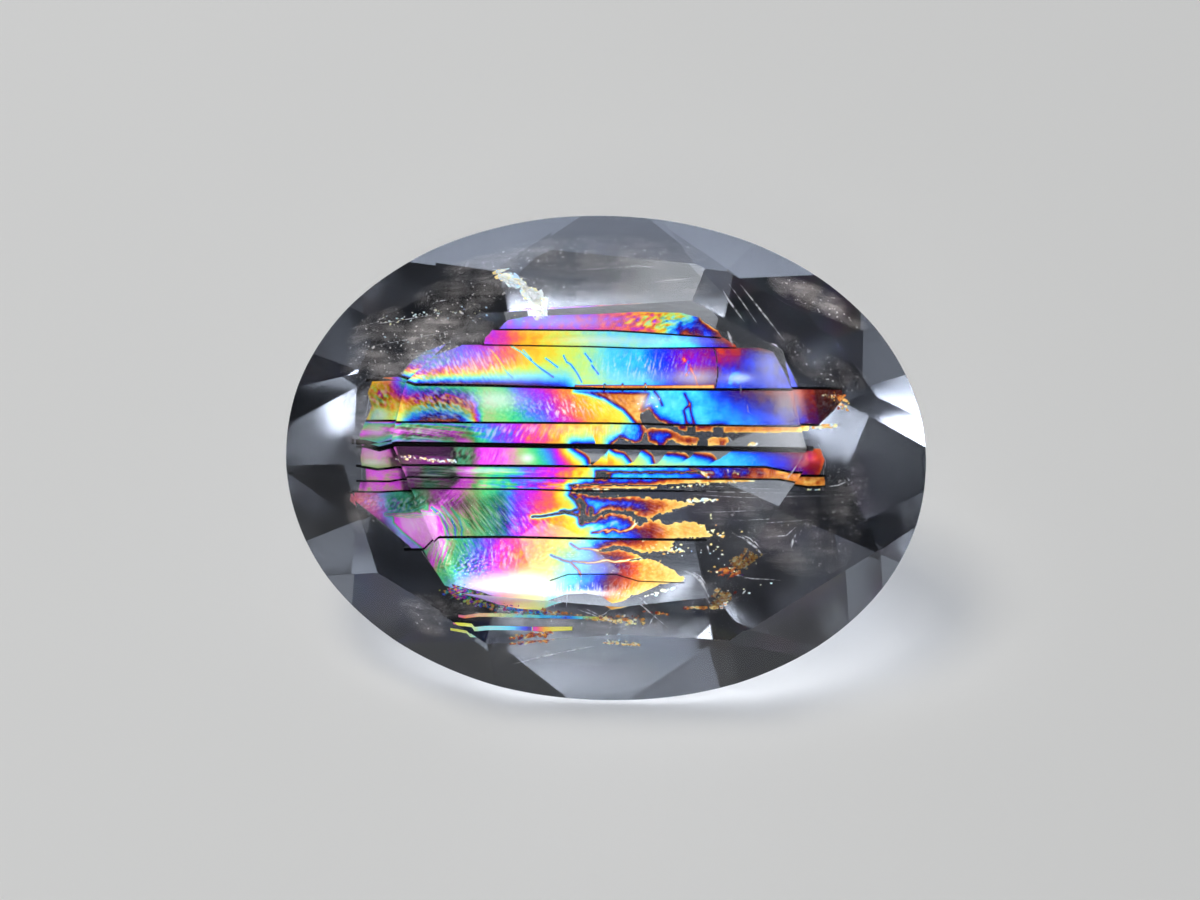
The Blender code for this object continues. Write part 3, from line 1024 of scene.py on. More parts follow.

# The flat-edged paler and darker areas; the paler ones are partly a painted sheen of light.
SHEENS: tuple[Sheen, ...] = (
    Sheen(((-3040, 195), (-2185, 195), (-2145, 50), (-2230, 15), (-2985, 40)), -0.96, 23),
    Sheen(((-3040, 50), (-2115, 35), (-2145, -110), (-3010, -110)), -0.8, 29),
    Sheen(((-2185, 195), (-1825, 195), (-1870, -110), (-2230, -110)), -0.55, 58),
    Sheen(((-2895, -110), (-2230, -110), (-2085, -285), (-2260, -470), (-2840, -470)), -0.9, 38),
    Sheen(((-2260, -110), (-1765, -210), (-1855, -470), (-2230, -470)), -0.55, 72),
    Sheen(((-2750, -455), (-2315, -455), (-2405, -675), (-2665, -690)), -0.72, 58),
    Sheen(((-2375, -470), (-1765, -470), (-2000, -760), (-2315, -720)), -0.5, 72),
    Sheen(((-3475, -170), (-3390, -65), (-3360, -315), (-3445, -485)), -0.4, 29),
    Sheen(((-3535, -760), (-3100, -850), (-2925, -1050), (-3040, -1150), (-3475, -890)), -0.55, 43),
    Sheen((
        (-1260, -1135), (-955, -920), (-625, -980), (-335, -1135), (215, -1635), (-450, -1660),
        (-1100, -1555),
    ), 0.2, 12),
    Sheen((
        (-2925, -760), (-2635, -740), (-2445, -805), (-2420, -1035), (-2490, -1225), (-2635, -1180),
        (-2840, -980),
    ), 0.35, 29),
    Sheen(((-3445, 180), (-3070, 180), (-3085, -65), (-3415, -65)), 0.3, 29),
    Sheen(((-2925, 1005), (-1970, 1005), (-1825, 555), (-2925, 540)), -0.55, 72),
    Sheen(((-3390, 1050), (-2985, 1050), (-3025, 730), (-3390, 730)), -0.35, 72),
    Sheen(((-2955, 485), (-1970, 485), (-1825, 225), (-2955, 225)), -0.6, 58),
    Sheen(((-2405, -675), (-1465, -470), (-1360, -1125), (-2315, -1125)), -0.55, 72),
    Sheen(((-2315, -1125), (-1535, -1135), (-1825, -1685), (-2230, -1555)), -0.4, 87),
    Sheen(((-3055, -470), (-2620, -470), (-2695, -805), (-3070, -775)), -0.45, 72),
    Sheen(((2895, 990), (3415, 1020), (3355, 500), (2980, 500)), -0.72, 29),
)

# The scatters of flakes; two white ones paint a glint.
FLECKS: tuple[FleckField, ...] = (
    FleckField(((1155, -615), (1675, -590)), 25, 26, 38, 285),
    FleckField(((490, -1255), (1100, -1340)), 65, 34, 27, 310),
    FleckField(((490, -1990), (710, -1940), (955, -1875)), 23, 14, 38, 262),
    FleckField(((-115, -2210), (435, -2280)), 43, 40, 35, 330),
    FleckField(((-2940, 35), (-2550, -25), (-2160, -45)), 23, 60, 29, 300),
    FleckField(((2765, -400), (3025, -405)), 9, 7, 20, 270),
    FleckField(((1215, -820), (1675, -1210), (1360, -1500), (2225, -1905)), 203, 34, 20, 280, 0.9),
    FleckField(((1415, -1035), (1675, -1095)), 43, 10, 32, 300),
    FleckField(((-1360, -2500), (-810, -2435)), 35, 80, 29, 430, 0.95),
    FleckField(((-2230, -1845), (-1825, -1990), (-1100, -2120)), 65, 150, 29, 1020, 0.45),
    FleckField(((-955, -2105), (-90, -2225), (490, -2195)), 43, 80, 27, 420, 0.75),
    FleckField(((-1450, -2065), (-885, -2150)), 29, 50, 29, 660, 0.8),
    FleckField(((1835, -1515), (2070, -1340)), 55, 110, 32, 372, 0.2),
    FleckField(((1560, -2035), (1675, -1890)), 41, 90, 29, 372, 0.25),
    # These two white scatters paint a glint, together with the wide white strips of the star.
    FleckField(((-1490, 2540), (-1275, 2435), (-1070, 2265), (-930, 2075)), 38, 90, 80, 264),
    FleckField(((-1100, 2280), (-940, 2105)), 43, 50, 94, 264),
    FleckField(((1125, -2045), (1690, -2050)), 7, 34, 38, 405, 0.9),
    FleckField(((1575, -1630), (1865, -1585)), 43, 30, 35, 430, 0.55),
    FleckField(((2850, 430), (3210, 450)), 10, 16, 49, 335, 0.85),
    FleckField(((2055, 200), (2155, 210)), 9, 8, 41, 300),
    FleckField(((1325, -170), (1465, -270)), 10, 10, 38, 325),
    FleckField(((1735, -170), (1910, -225)), 14, 8, 29, 340, 0.9),
    FleckField(((3095, 875), (3355, 845), (3300, 700)), 49, 50, 32, 385, 0.9),
    FleckField(((-3055, 1885), (-2550, 2030), (-1855, 2005)), 94, 50, 19, 262, 0.6),
    FleckField(((-2985, 1570), (-2260, 1715)), 130, 40, 16, 262, 0.5),
    FleckField(((0, -2455), (490, -2540)), 36, 30, 23, 320, 0.7),
    FleckField(((-30, -2500), (490, -2540)), 12, 30, 29, 340, 0.9),
    FleckField(((490, -2105), (895, -2150)), 14, 16, 32, 450, 0.9),
    FleckField(((810, -435), (1940, -325)), 20, 26, 26, 330, 0.9),
    FleckField(((-235, -445), (85, -455)), 12, 20, 32, 340, 0.9),
    FleckField(((490, 700), (710, 845)), 72, 16, 22, 262),
    FleckField(((-1245, 2030), (-665, 1975)), 58, 14, 22, 262, 0.6),
)

# The white cracks in the parting, the scratches near the table, and the strips of a painted glint.
WHITE_LINES_AND_GLINTS: tuple[Scratch, ...] = (
    Scratch(((1865, -1110), (1965, -1135), (2095, -1240), (2200, -1370)), 49, 14),
    Scratch(((1940, -1095), (2070, -1150), (2155, -1255)), 26, 14),
    Scratch(((1115, -1615), (1245, -1660), (1360, -1760), (1430, -1875), (1490, -2025)), 67, 14),
    Scratch(((1215, -1615), (1345, -1685), (1445, -1820)), 29, 14),
    Scratch(((1545, -1635), (1675, -1600), (1835, -1630), (1965, -1685)), 35, 14),
    Scratch(((1835, -1630), (2010, -1680), (2225, -1695), (2460, -1715)), 17, 14),
    Scratch(((2225, -1085), (2530, -1065), (2675, -935)), 26, 20),
    Scratch(((2675, -1035), (2630, -1135), (2605, -1255)), 52, 20),
    Scratch(((315, -1860), (490, -2005), (665, -2165), (895, -2370)), 25, 30),
    Scratch(((710, -2150), (650, -2225), (605, -2325)), 29, 30),
    Scratch(((1635, 2365), (1720, 2205), (1820, 2060), (1940, 1885)), 41, 150),
    Scratch(((1735, 2450), (1940, 2150), (2140, 1845)), 23, 150),
    Scratch(((1895, 2450), (2200, 2045), (2370, 1815), (2530, 1600)), 35, 150),
    Scratch(((1735, 1845), (1780, 1730), (1820, 1610)), 58, 60),
    Scratch(((1915, 1075), (1930, 1020), (1940, 930)), 23, 30),
    Scratch(((2025, 775), (2040, 645)), 17, 30),
    Scratch(((3140, -365), (3270, -350), (3400, -300)), 29, 40),
    Scratch(((-1360, -2905), (-955, -2775), (-580, -2670), (-175, -2570)), 32, 60),
    Scratch(((825, -435), (1650, -480), (2515, -495), (3170, -500)), 13, 20),
    Scratch(((1215, -515), (1940, -560), (2660, -565)), 10, 20),
    Scratch(((1360, -390), (2225, -435), (2805, -455)), 10, 20),
    Scratch(((-405, -2080), (-235, -2135), (-60, -2210)), 17, 30),
    Scratch(((-320, -2050), (-145, -2135), (0, -2235)), 14, 30),
    Scratch(((85, -2050), (0, -2135), (-115, -2195)), 13, 30),
    Scratch(((-715, -1845), (-725, -1960), (-745, -2080)), 23, 30),
    Scratch(((-560, -1760), (-555, -1905), (-565, -2050)), 17, 30),
    Scratch(((-350, -1585), (-365, -1760), (-385, -1960)), 25, 30),
    Scratch(((-190, -1715), (-195, -1830), (-215, -1960)), 27, 30),
    Scratch(((230, -1830), (185, -1960), (145, -2095)), 19, 30),
    Scratch(((-1660, -1135), (-1635, -1325), (-1645, -1555)), 32, 30),
    # These six wide strips paint a glint: the star of light on the crown.
    Scratch(((-1535, 2555), (-1360, 2425), (-1245, 2350)), 94, 120),
    Scratch(((-1360, 2525), (-1190, 2425), (-1085, 2280), (-1015, 2120)), 116, 120),
    Scratch(((-1190, 2395), (-1030, 2250), (-915, 2060)), 130, 120),
    Scratch(((-1070, 2290), (-955, 2135)), 174, 124),
    Scratch(((-1535, 2640), (-1100, 2495)), 23, 120),
    Scratch(((-1245, 2205), (-870, 2090)), 32, 126),
    Scratch(((-2025, 2045), (-1970, 1990)), 43, 60),
    Scratch(((-2460, 2160), (-2390, 2205), (-2230, 2220)), 23, 60),
    Scratch(((-2260, 1755), (-2230, 1640)), 29, 30),
    Scratch(((2415, -515), (2545, -355), (2660, -210), (2765, -50), (2850, 105)), 17, 60),
    Scratch(((925, -1295), (1010, -1370)), 14, 20),
    Scratch(((1445, -1210), (1475, -1355)), 35, 20),
    Scratch(((1895, -1905), (1950, -1845)), 26, 20),
    Scratch(((1720, 340), (1780, 280), (1835, 180)), 17, 34),
    Scratch(((-3705, 1845), (-2985, 1930), (-2260, 2030)), 14, 40),
    Scratch(((-3390, 1555), (-2695, 1670), (-1970, 1800)), 13, 40),
    Scratch(((490, 2425), (1360, 2525)), 13, 100),
    Scratch(((-595, 2625), (490, 2700), (1215, 2595)), 13, 100),
    Scratch(((1360, -775), (2225, -745)), 10, 20),
    Scratch(((1865, -890), (2805, -850)), 12, 20),
)

# The patches of haze.
VEILS: tuple[Veil, ...] = (
    Veil((-2810, 1570), (926, 376), 8, 0.65),
    Veil((-2315, 1915), (550, 246), 18, 0.9),
    Veil((-3055, 1250), (724, 232), 0, 0.4),
    Veil((-2000, 1770), (434, 203), 20, 0.5),
    Veil((-3300, 1860), (492, 188), 25, 0.35),
    Veil((-3415, 555), (289, 579), 0, 0.3),
    Veil((-3245, -170), (145, 637), 0, 0.2),
    Veil((-3390, -675), (347, 376), 0, 0.3),
    Veil((-90, 2840), (1592, 347), 0, 0.3),
    Veil((-955, 2290), (868, 232), -8, 0.5),
    Veil((-1535, 2755), (868, 203), 10, 0.35),
    Veil((490, 2350), (1013, 232), 0, 0.35),
    Veil((2895, 2290), (666, 260), -20, 0.75),
    Veil((3300, 2060), (521, 145), -24, 0.6),
    Veil((3125, 1250), (637, 232), -22, 0.45),
    Veil((2660, 1540), (376, 145), -30, 0.3),
    Veil((2225, -890), (868, 434), 10, 0.22),
    Veil((2805, -1255), (724, 434), -10, 0.26),
    Veil((3385, -600), (376, 724), 0, 0.2),
    Veil((1865, -600), (810, 318), 0, 0.2),
    Veil((-1825, -2120), (1302, 174), -6, 0.25),
    Veil((-90, -2310), (1158, 174), -3, 0.22),
    Veil((-665, -2775), (1302, 232), 0, 0.12),
    Veil((-2620, -2225), (434, 260), -30, 0.4),
    Veil((1430, -1905), (521, 260), 0, 0.15),
    Veil((-1940, 2290), (810, 289), 5, 0.35),
    Veil((-2230, 1540), (376, 145), 0, 0.4),
)


class Nodes:
    """Short ways to add nodes to a tree."""

    def __init__(self, tree: bpy.types.NodeTree) -> None:
        """Keeps the tree to add to."""
        self.tree = tree

    def add(self, kind: str) -> bpy.types.Node:
        """Adds a shader node of a kind."""
        return self.tree.nodes.new("ShaderNode" + kind)

    def plug(self, socket: Socket, value: object) -> None:
        """Links a socket to another, or sets its value.

        Args:
            socket: The socket that is fed.
            value: The socket or the plain value that feeds it.
        """
        if isinstance(value, Socket):
            self.tree.links.new(value, socket)
        else:
            socket.default_value = value

    def fill(self, node: bpy.types.Node, values: dict[str, object]) -> None:
        """Feeds several inputs of a node, by their names."""
        for name, value in values.items():
            self.plug(node.inputs[name], value)

    def math(self, kind: str, *values: object) -> Socket:
        """Adds a Math node.

        Args:
            kind: Its operation.
            values: Sockets or numbers for its inputs.

        Returns:
            Its output.
        """
        node = self.add("Math")
        node.operation = kind
        for socket, value in zip(node.inputs, values):
            self.plug(socket, value)
        return node.outputs[0]

    def mix(self, share: object, first: object, second: object, kind: str = "MIX") -> Socket:
        """Adds a colour Mix node.

        Args:
            share: How much of the second colour.
            first: The first colour.
            second: The second colour.
            kind: Its blend type.

        Returns:
            Its output.
        """
        node = self.add("Mix")
        node.data_type = "RGBA"
        node.blend_type = kind
        colours = [socket for socket in node.inputs if socket.type == "RGBA"]
        self.plug(node.inputs["Factor"], share)
        self.plug(colours[0], first)
        self.plug(colours[1], second)
        return next(socket for socket in node.outputs if socket.type == "RGBA")

    def scaled(self, colour: object, share: object) -> Socket:
        """Makes a colour brighter or darker.

        Args:
            colour: The colour.
            share: What it is multiplied by.

        Returns:
            The new colour.
        """
        node = self.add("VectorMath")
        node.operation = "SCALE"
        self.fill(node, {"Vector": colour, "Scale": share})
        return node.outputs["Vector"]

    def attribute(self, name: str) -> Socket:
        """Reads a number that the mesh's points carry.

        Args:
            name: The number's name.

        Returns:
            The number.
        """
        node = self.add("Attribute")
        node.attribute_name = name
        return node.outputs["Fac"]

    def noise(self, scale: float, detail: float, stretch: Triple = (1.0, 1.0, 1.0),
              turn: Triple = (0.0, 0.0, 0.0)) -> Socket:
        """Adds noise on Object coordinates.

        Args:
            scale: Swells to a metre.
            detail: Layers of finer noise.
            stretch: Scale along each axis.
            turn: Turn about each axis, in degrees.

        Returns:
            Its output, around 0.5.
        """
        place = self.add("TexCoord").outputs["Object"]
        mapping = self.add("Mapping")
        angles = [radians(angle) for angle in turn]
        self.fill(mapping, {"Vector": place, "Scale": stretch, "Rotation": angles})
        node = self.add("TexNoise")
        self.fill(node, {"Vector": mapping.outputs["Vector"], "Scale": scale, "Detail": detail})
        return node.outputs["Fac"]

    def height(self, stone: StoneFrame) -> Socket:
        """The height of each place over the girdle's middle, square to the table.

        Args:
            stone: The stone's frame.

        Returns:
            The height, in metres.
        """
        out = stone.direction(0.0, 0.0, 1.0)
        along = self.dot(self.add("TexCoord").outputs["Object"], out)
        return self.math("SUBTRACT", along, stone.point(0.0, 0.0, 0.0).dot(out))

    def dot(self, place: Socket, direction: Vector) -> Socket:
        """How far a place lies along a direction.

        Args:
            place: The place.
            direction: The direction, of length 1.

        Returns:
            The distance.
        """
        node = self.add("VectorMath")
        node.operation = "DOT_PRODUCT"
        self.plug(node.inputs[0], place)
        self.plug(node.inputs[1], direction)
        return node.outputs["Value"]

    def ramp(self, value: object, start: float, end: float, low: float = 0.0,
             high: float = 1.0) -> Socket:
        """A smooth step.

        Args:
            value: What it follows.
            start: The value at which it begins.
            end: The value at which it ends.
            low: What it gives before its start.
            high: What it gives past its end.

        Returns:
            The step.
        """
        node = self.add("MapRange")
        node.interpolation_type = "SMOOTHSTEP"
        self.fill(node, {"Value": value, "From Min": start, "From Max": end})
        self.fill(node, {"To Min": low, "To Max": high})
        return node.outputs["Result"]

    def bump(self, height: object, strength: float, distance: float) -> Socket:
        """Adds a Bump node.

        Args:
            height: The height socket.
            strength: How much of the bump shows.
            distance: Height of the bump, in metres.

        Returns:
            The bumped normal.
        """
        node = self.add("Bump")
        self.fill(node, {"Height": height, "Strength": strength, "Distance": distance})
        return node.outputs["Normal"]


def new_material(name: str) -> tuple[Material, Nodes, bpy.types.Node]:
    """Starts a material.

    Args:
        name: Its name.

    Returns:
        The material, its nodes and its Principled shader.
    """
    material = bpy.data.materials.new(name)
    material.use_nodes = True
    return material, Nodes(material.node_tree), material.node_tree.nodes["Principled BSDF"]


@dataclass(frozen=True)
class NewtonColours:
    """The colours that a thin gap shows, from the path of light across it.

    Attributes:
        waves: Wavelengths that the three channels stand for, in nanometres.
        washout: Path over which the colours fade to white, in nanometres.
        depth: Power that deepens the colours.
        gain: What the colours are multiplied by.
        spill: How much of a green without red shows as blue too.
        dull: How much darker a green is that stands alone.
    """

    waves: Triple = (630.0, 540.0, 455.0)
    washout: float = 2400.0
    depth: float = 1.9
    gain: float = 1.05
    spill: float = 0.2
    dull: float = 0.35

    def group(self) -> bpy.types.NodeTree:
        """Builds the shader node group.

        Returns:
            A group with the path in nanometres in and the colour out.
        """
        tree = bpy.data.node_groups.new("newton_colours", "ShaderNodeTree")
        tree.interface.new_socket("Path", in_out="INPUT", socket_type="NodeSocketFloat")
        tree.interface.new_socket("Colour", in_out="OUTPUT", socket_type="NodeSocketColor")
        nodes = Nodes(tree)
        entry = tree.nodes.new("NodeGroupInput").outputs["Path"]
        fade = nodes.math("POWER", nodes.math("DIVIDE", entry, self.washout), 2.0)
        fade = nodes.math("EXPONENT", nodes.math("MULTIPLY", fade, -1.0))
        channels = []
        for wave in self.waves:
            turn = nodes.math("COSINE", nodes.math("MULTIPLY", entry, 2 * pi / wave))
            light = nodes.math("MULTIPLY_ADD", nodes.math("MULTIPLY", turn, fade), -0.5, 0.5)
            light = nodes.math("POWER", nodes.math("MULTIPLY", light, self.gain), self.depth)
            channels.append(nodes.math("MINIMUM", light, 1.0))
        red, green, blue = channels
        keep = nodes.math("MULTIPLY_ADD", nodes.math("MAXIMUM", red, blue), self.dull, 1.0 - self.dull)
        spilt = nodes.math("MULTIPLY", green, nodes.math("MULTIPLY_ADD", red, -self.spill, self.spill))
        blue = nodes.math("MINIMUM", nodes.math("ADD", blue, spilt), 1.0)
        channels = (red, nodes.math("MULTIPLY", green, keep), blue)
        join = nodes.add("CombineColor")
        nodes.fill(join, dict(zip(("Red", "Green", "Blue"), channels)))
        leave = tree.nodes.new("NodeGroupOutput")
        tree.links.new(join.outputs["Color"], leave.inputs["Colour"])
        return tree


@dataclass(frozen=True)
class ClearFeldspar:
    """The stone's own finish: clear, polished, with a trace of milk and fine polishing lines.

    Attributes:
        refraction: Its index of refraction.
        roughness: Roughness of the table's polish.
        back_roughness: Roughness of the pavilion's poorer polish.
        tint: What light keeps on its way in.
        grey: Colour that the stone leaves light.
        haze: Density of that colour, to a metre.
        shade: How much light the stone's shadow keeps.
        lines: Number to a metre and height, in metres, of the fine polishing lines.
        line_shape: How much closer they lie across than along, and how far they are turned, in degrees.
        line_show: How much of their height shows, and how much roughness they add.
        back: Heights between which the table's polish gives way to the pavilion's, in millimetres.
    """

    refraction: float = 1.522
    roughness: float = 0.07
    back_roughness: float = 0.03
    tint: Colour = (0.97, 0.98, 0.99, 1.0)
    grey: Colour = (0.55, 0.58, 0.64, 1.0)
    haze: float = 300.0
    shade: Colour = (0.82, 0.83, 0.85, 1.0)
    lines: Place = (900.0, 0.00001)
    line_shape: Place = (9.0, 20.0)
    line_show: Place = (0.02, 0.01)
    back: Place = (-0.1, -0.5)

    def make(self, stone: StoneFrame) -> Material:
        """Builds the material.

        Args:
            stone: The stone's frame.

        Returns:
            The material.
        """
        material, nodes, shader = new_material("clear_feldspar")
        nodes.fill(shader, {"Base Color": self.tint, "IOR": self.refraction, "Transmission Weight": 1.0})
        closer, turn = self.line_shape
        lines = nodes.noise(self.lines[0], 3.0, stretch=(1.0, closer, closer), turn=(0.0, 0.0, turn))
        behind = nodes.ramp(nodes.height(stone), self.back[0] * MM, self.back[1] * MM)
        polish = nodes.math("MULTIPLY_ADD", behind, self.back_roughness, self.roughness)
        relief, blur = self.line_show
        nodes.plug(shader.inputs["Roughness"], nodes.math("MULTIPLY_ADD", lines, blur, polish))
        nodes.plug(shader.inputs["Normal"], nodes.bump(lines, relief, self.lines[1]))
        clear = nodes.add("BsdfTransparent")
        nodes.plug(clear.inputs["Color"], self.shade)
        either = nodes.add("MixShader")
        nodes.plug(either.inputs["Fac"], nodes.add("LightPath").outputs["Is Shadow Ray"])
        nodes.plug(either.inputs[1], shader.outputs["BSDF"])
        nodes.plug(either.inputs[2], clear.outputs["BSDF"])
        body = nodes.add("VolumeAbsorption")
        nodes.fill(body, {"Color": self.grey, "Density": self.haze})
        leave = material.node_tree.nodes["Material Output"]
        nodes.fill(leave, {"Surface": either.outputs["Shader"], "Volume": body.outputs["Volume"]})
        return material


@dataclass(frozen=True)
class PartingFilm:
    """The film in the parting, which mirrors light in the colours of its gap.

    Attributes:
        metallic: How far it mirrors.
        roughness: Roughness of its faces.
        glow: A painted glow: how much of its colour it gives off, for the light that gathers in the stone.
        grain: How far the finest grain changes the gap, in nanometres.
        fineness: Grains to a metre.
        whiteness: How much of the points' paleness shows, which is partly painted highlights and sheens.
        behind: How much of the film shows from behind.
    """

    metallic: float = 0.85
    roughness: float = 0.28
    glow: float = 0.25
    grain: float = 40.0
    fineness: float = 26000.0
    whiteness: float = 0.6
    behind: float = 0.05

    def make(self, colours: bpy.types.NodeTree) -> Material:
        """Builds the material.

        Args:
            colours: The group that turns a gap into its colour.

        Returns:
            The material.
        """
        material, nodes, shader = new_material("parting_film")
        grain = nodes.math("SUBTRACT", nodes.noise(self.fineness, 2.0), 0.5)
        path = nodes.math("MULTIPLY_ADD", grain, self.grain, nodes.attribute("gap"))
        tint = nodes.add("Group")
        tint.node_tree = colours
        nodes.plug(tint.inputs["Path"], path)
        colour = nodes.scaled(tint.outputs["Colour"], nodes.attribute("shine"))
        # White mixed in by the points' paleness, partly painted highlights and sheens.
        veil = nodes.math("MINIMUM", nodes.math("MULTIPLY", nodes.attribute("pale"), self.whiteness), 1.0)
        veiled = nodes.mix(veil, colour, (1.0, 1.0, 1.0, 1.0))
        nodes.fill(shader, {"Base Color": veiled, "Metallic": self.metallic, "Roughness": self.roughness})
        # A painted glow: the film gives off its own colour, painted highlights included, as light.
        nodes.fill(shader, {"Emission Color": veiled, "Emission Strength": self.glow})
        facing = nodes.add("NewGeometry").outputs["Backfacing"]
        nodes.plug(shader.inputs["Alpha"], nodes.math("MULTIPLY_ADD", facing, self.behind - 1.0, 1.0))
        return material


@dataclass(frozen=True)
class StepShade:
    """A painted shade over the risers of the steps: a black sheet that sends no light back.

    Attributes:
        colour: Their colour.
        roughness: Roughness of their faces.
        fineness: Grains to a metre.
    """

    colour: Colour = (0.004, 0.004, 0.005, 1.0)
    roughness: float = 0.6
    fineness: float = 9000.0

    def make(self) -> Material:
        """Builds the material.

        Returns:
            The material, which is clear from behind.
        """
        material, nodes, shader = new_material("step_shade")
        grain = nodes.noise(self.fineness, 2.0)
        colour = nodes.mix(grain, (0.0, 0.0, 0.0, 1.0), self.colour)
        # Painted shade: near-black and without specular, where the risers are seen dark.
        nodes.fill(shader, {"Base Color": colour, "Roughness": self.roughness, "Specular IOR Level": 0.0})
        facing = nodes.add("NewGeometry").outputs["Backfacing"]
        nodes.plug(shader.inputs["Alpha"], nodes.math("SUBTRACT", 1.0, facing))
        return material


@dataclass(frozen=True)
class BrightLine:
    """The finish of the white cracks and scratches, and of the strips of a painted glint.

    Attributes:
        colour: Their colour.
        edge: Their fainter colour.
        roughness: Roughness of their faces.
        glow: A painted glow: how much of it they give off, for the light that gathers in the stone.
        cover: How much of what lies behind they hide.
        fineness: Breaks to a metre.
        broken: Values of the noise between which a line is broken and whole.
        least: How much of its cover a line keeps where it is broken.
    """

    colour: Colour = (0.92, 0.93, 0.95, 1.0)
    edge: Colour = (0.45, 0.44, 0.46, 1.0)
    roughness: float = 0.5
    glow: float = 0.35
    cover: float = 0.8
    fineness: float = 14000.0
    broken: Place = (0.36, 0.58)
    least: float = 0.3

    def make(self) -> Material:
        """Builds the material.

        Returns:
            The material, which reads its cover from the mesh's points.
        """
        material, nodes, shader = new_material("bright_line")
        breaks = nodes.ramp(nodes.noise(self.fineness, 2.0), *self.broken)
        colour = nodes.mix(breaks, self.edge, self.colour)
        nodes.fill(shader, {"Base Color": colour, "Roughness": self.roughness})
        # A painted glow: the lines give off their own colour as light.
        nodes.fill(shader, {"Emission Color": colour, "Emission Strength": self.glow})
        strength = nodes.math("MULTIPLY", nodes.attribute("cover"), self.cover)
        kept = nodes.math("MULTIPLY_ADD", breaks, 1.0 - self.least, self.least)
        nodes.plug(shader.inputs["Alpha"], nodes.math("MULTIPLY", strength, kept))
        return material


@dataclass(frozen=True)
class Milk:
    """The finish of the milky veils: fine specks and thin lines of scattered light.

    Attributes:
        colour: Their colour.
        speck: Colour of the brightest specks.
        roughness: Roughness of the haze.
        glow: A painted glow: how much of it they give off, for the light that gathers in the stone.
        specks: Specks to a metre, and the values of the noise between which they rise.
        lines: Lines to a metre, and the values between which they rise.
        cloud: Clouds to a metre, and the values between which they rise.
        between: How much haze is left between the lines.
    """

    colour: Colour = (0.48, 0.44, 0.42, 1.0)
    speck: Colour = (0.95, 0.90, 0.88, 1.0)
    roughness: float = 0.7
    glow: float = 0.45
    specks: Triple = (21000.0, 0.62, 0.74)
    lines: Triple = (4200.0, 0.35, 0.70)
    cloud: Triple = (2600.0, 0.30, 0.70)
    between: float = 0.4

    def make(self) -> Material:
        """Builds the material.

        Returns:
            The material, which reads its cover from the mesh's points.
        """
        material, nodes, shader = new_material("milk")
        specks = nodes.ramp(nodes.noise(self.specks[0], 1.0), *self.specks[1:])
        lines = nodes.ramp(nodes.noise(self.lines[0], 3.0, stretch=(0.25, 3.0, 3.0)), *self.lines[1:])
        cloud = nodes.ramp(nodes.noise(self.cloud[0], 4.0), *self.cloud[1:])
        colour = nodes.mix(specks, self.colour, self.speck)
        nodes.fill(shader, {"Base Color": colour, "Roughness": self.roughness})
        # A painted glow: the veils give off their own colour as light.
        nodes.fill(shader, {"Emission Color": colour, "Emission Strength": self.glow})
        lines = nodes.math("MULTIPLY_ADD", lines, 1.0 - self.between, self.between)
        body = nodes.math("MULTIPLY", lines, cloud)
        cover = nodes.math("MULTIPLY", nodes.attribute("cover"), nodes.math("MAXIMUM", body, specks))
        nodes.plug(shader.inputs["Alpha"], cover)
        return material


@dataclass(frozen=True)
class PaleFloor:
    """The studio floor.

    Attributes:
        colour: Its colour.
        mottle: Its slightly darker colour.
        roughness: Roughness of its face.
        fineness: Mottles to a metre.
    """

    colour: Colour = (0.84, 0.84, 0.83, 1.0)
    mottle: Colour = (0.80, 0.80, 0.79, 1.0)
    roughness: float = 0.75
    fineness: float = 60.0

    def make(self) -> Material:
        """Builds the material.

        Returns:
            The material.
        """
        material, nodes, shader = new_material("pale_floor")
        cloud = nodes.noise(self.fineness, 3.0)
        colour = nodes.mix(cloud, self.colour, self.mottle)
        nodes.fill(shader, {"Base Color": colour, "Roughness": self.roughness})
        return material


def add_object(name: str, mesh: bpy.types.Mesh, material: Material) -> Piece:
    """Puts a mesh in the scene.

    Args:
        name: The object's name.
        mesh: Its mesh.
        material: Its finish.

    Returns:
        The object, at the origin.
    """
    mesh.materials.append(material)
    piece = bpy.data.objects.new(name, mesh)
    bpy.context.scene.collection.objects.link(piece)
    return piece


def add_inclusion(name: str, whole: BMesh, sheet: Matrix, finish: Material) -> Piece:
    """Turns a mesh of the parting frame into a piece that rides with the stone.

    Args:
        name: The piece's name.
        whole: The mesh, which is used up.
        sheet: Takes a point of the parting frame to the row frame.
        finish: The piece's material.

    Returns:
        The piece.
    """
    bmesh.ops.transform(whole, matrix=sheet, verts=whole.verts)
    mesh = bpy.data.meshes.new(name)
    whole.to_mesh(mesh)
    whole.free()
    piece = add_object(name, mesh, finish)
    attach(piece, BODY)
    LOG.info("%s: %d faces", name, len(mesh.polygons))
    return piece


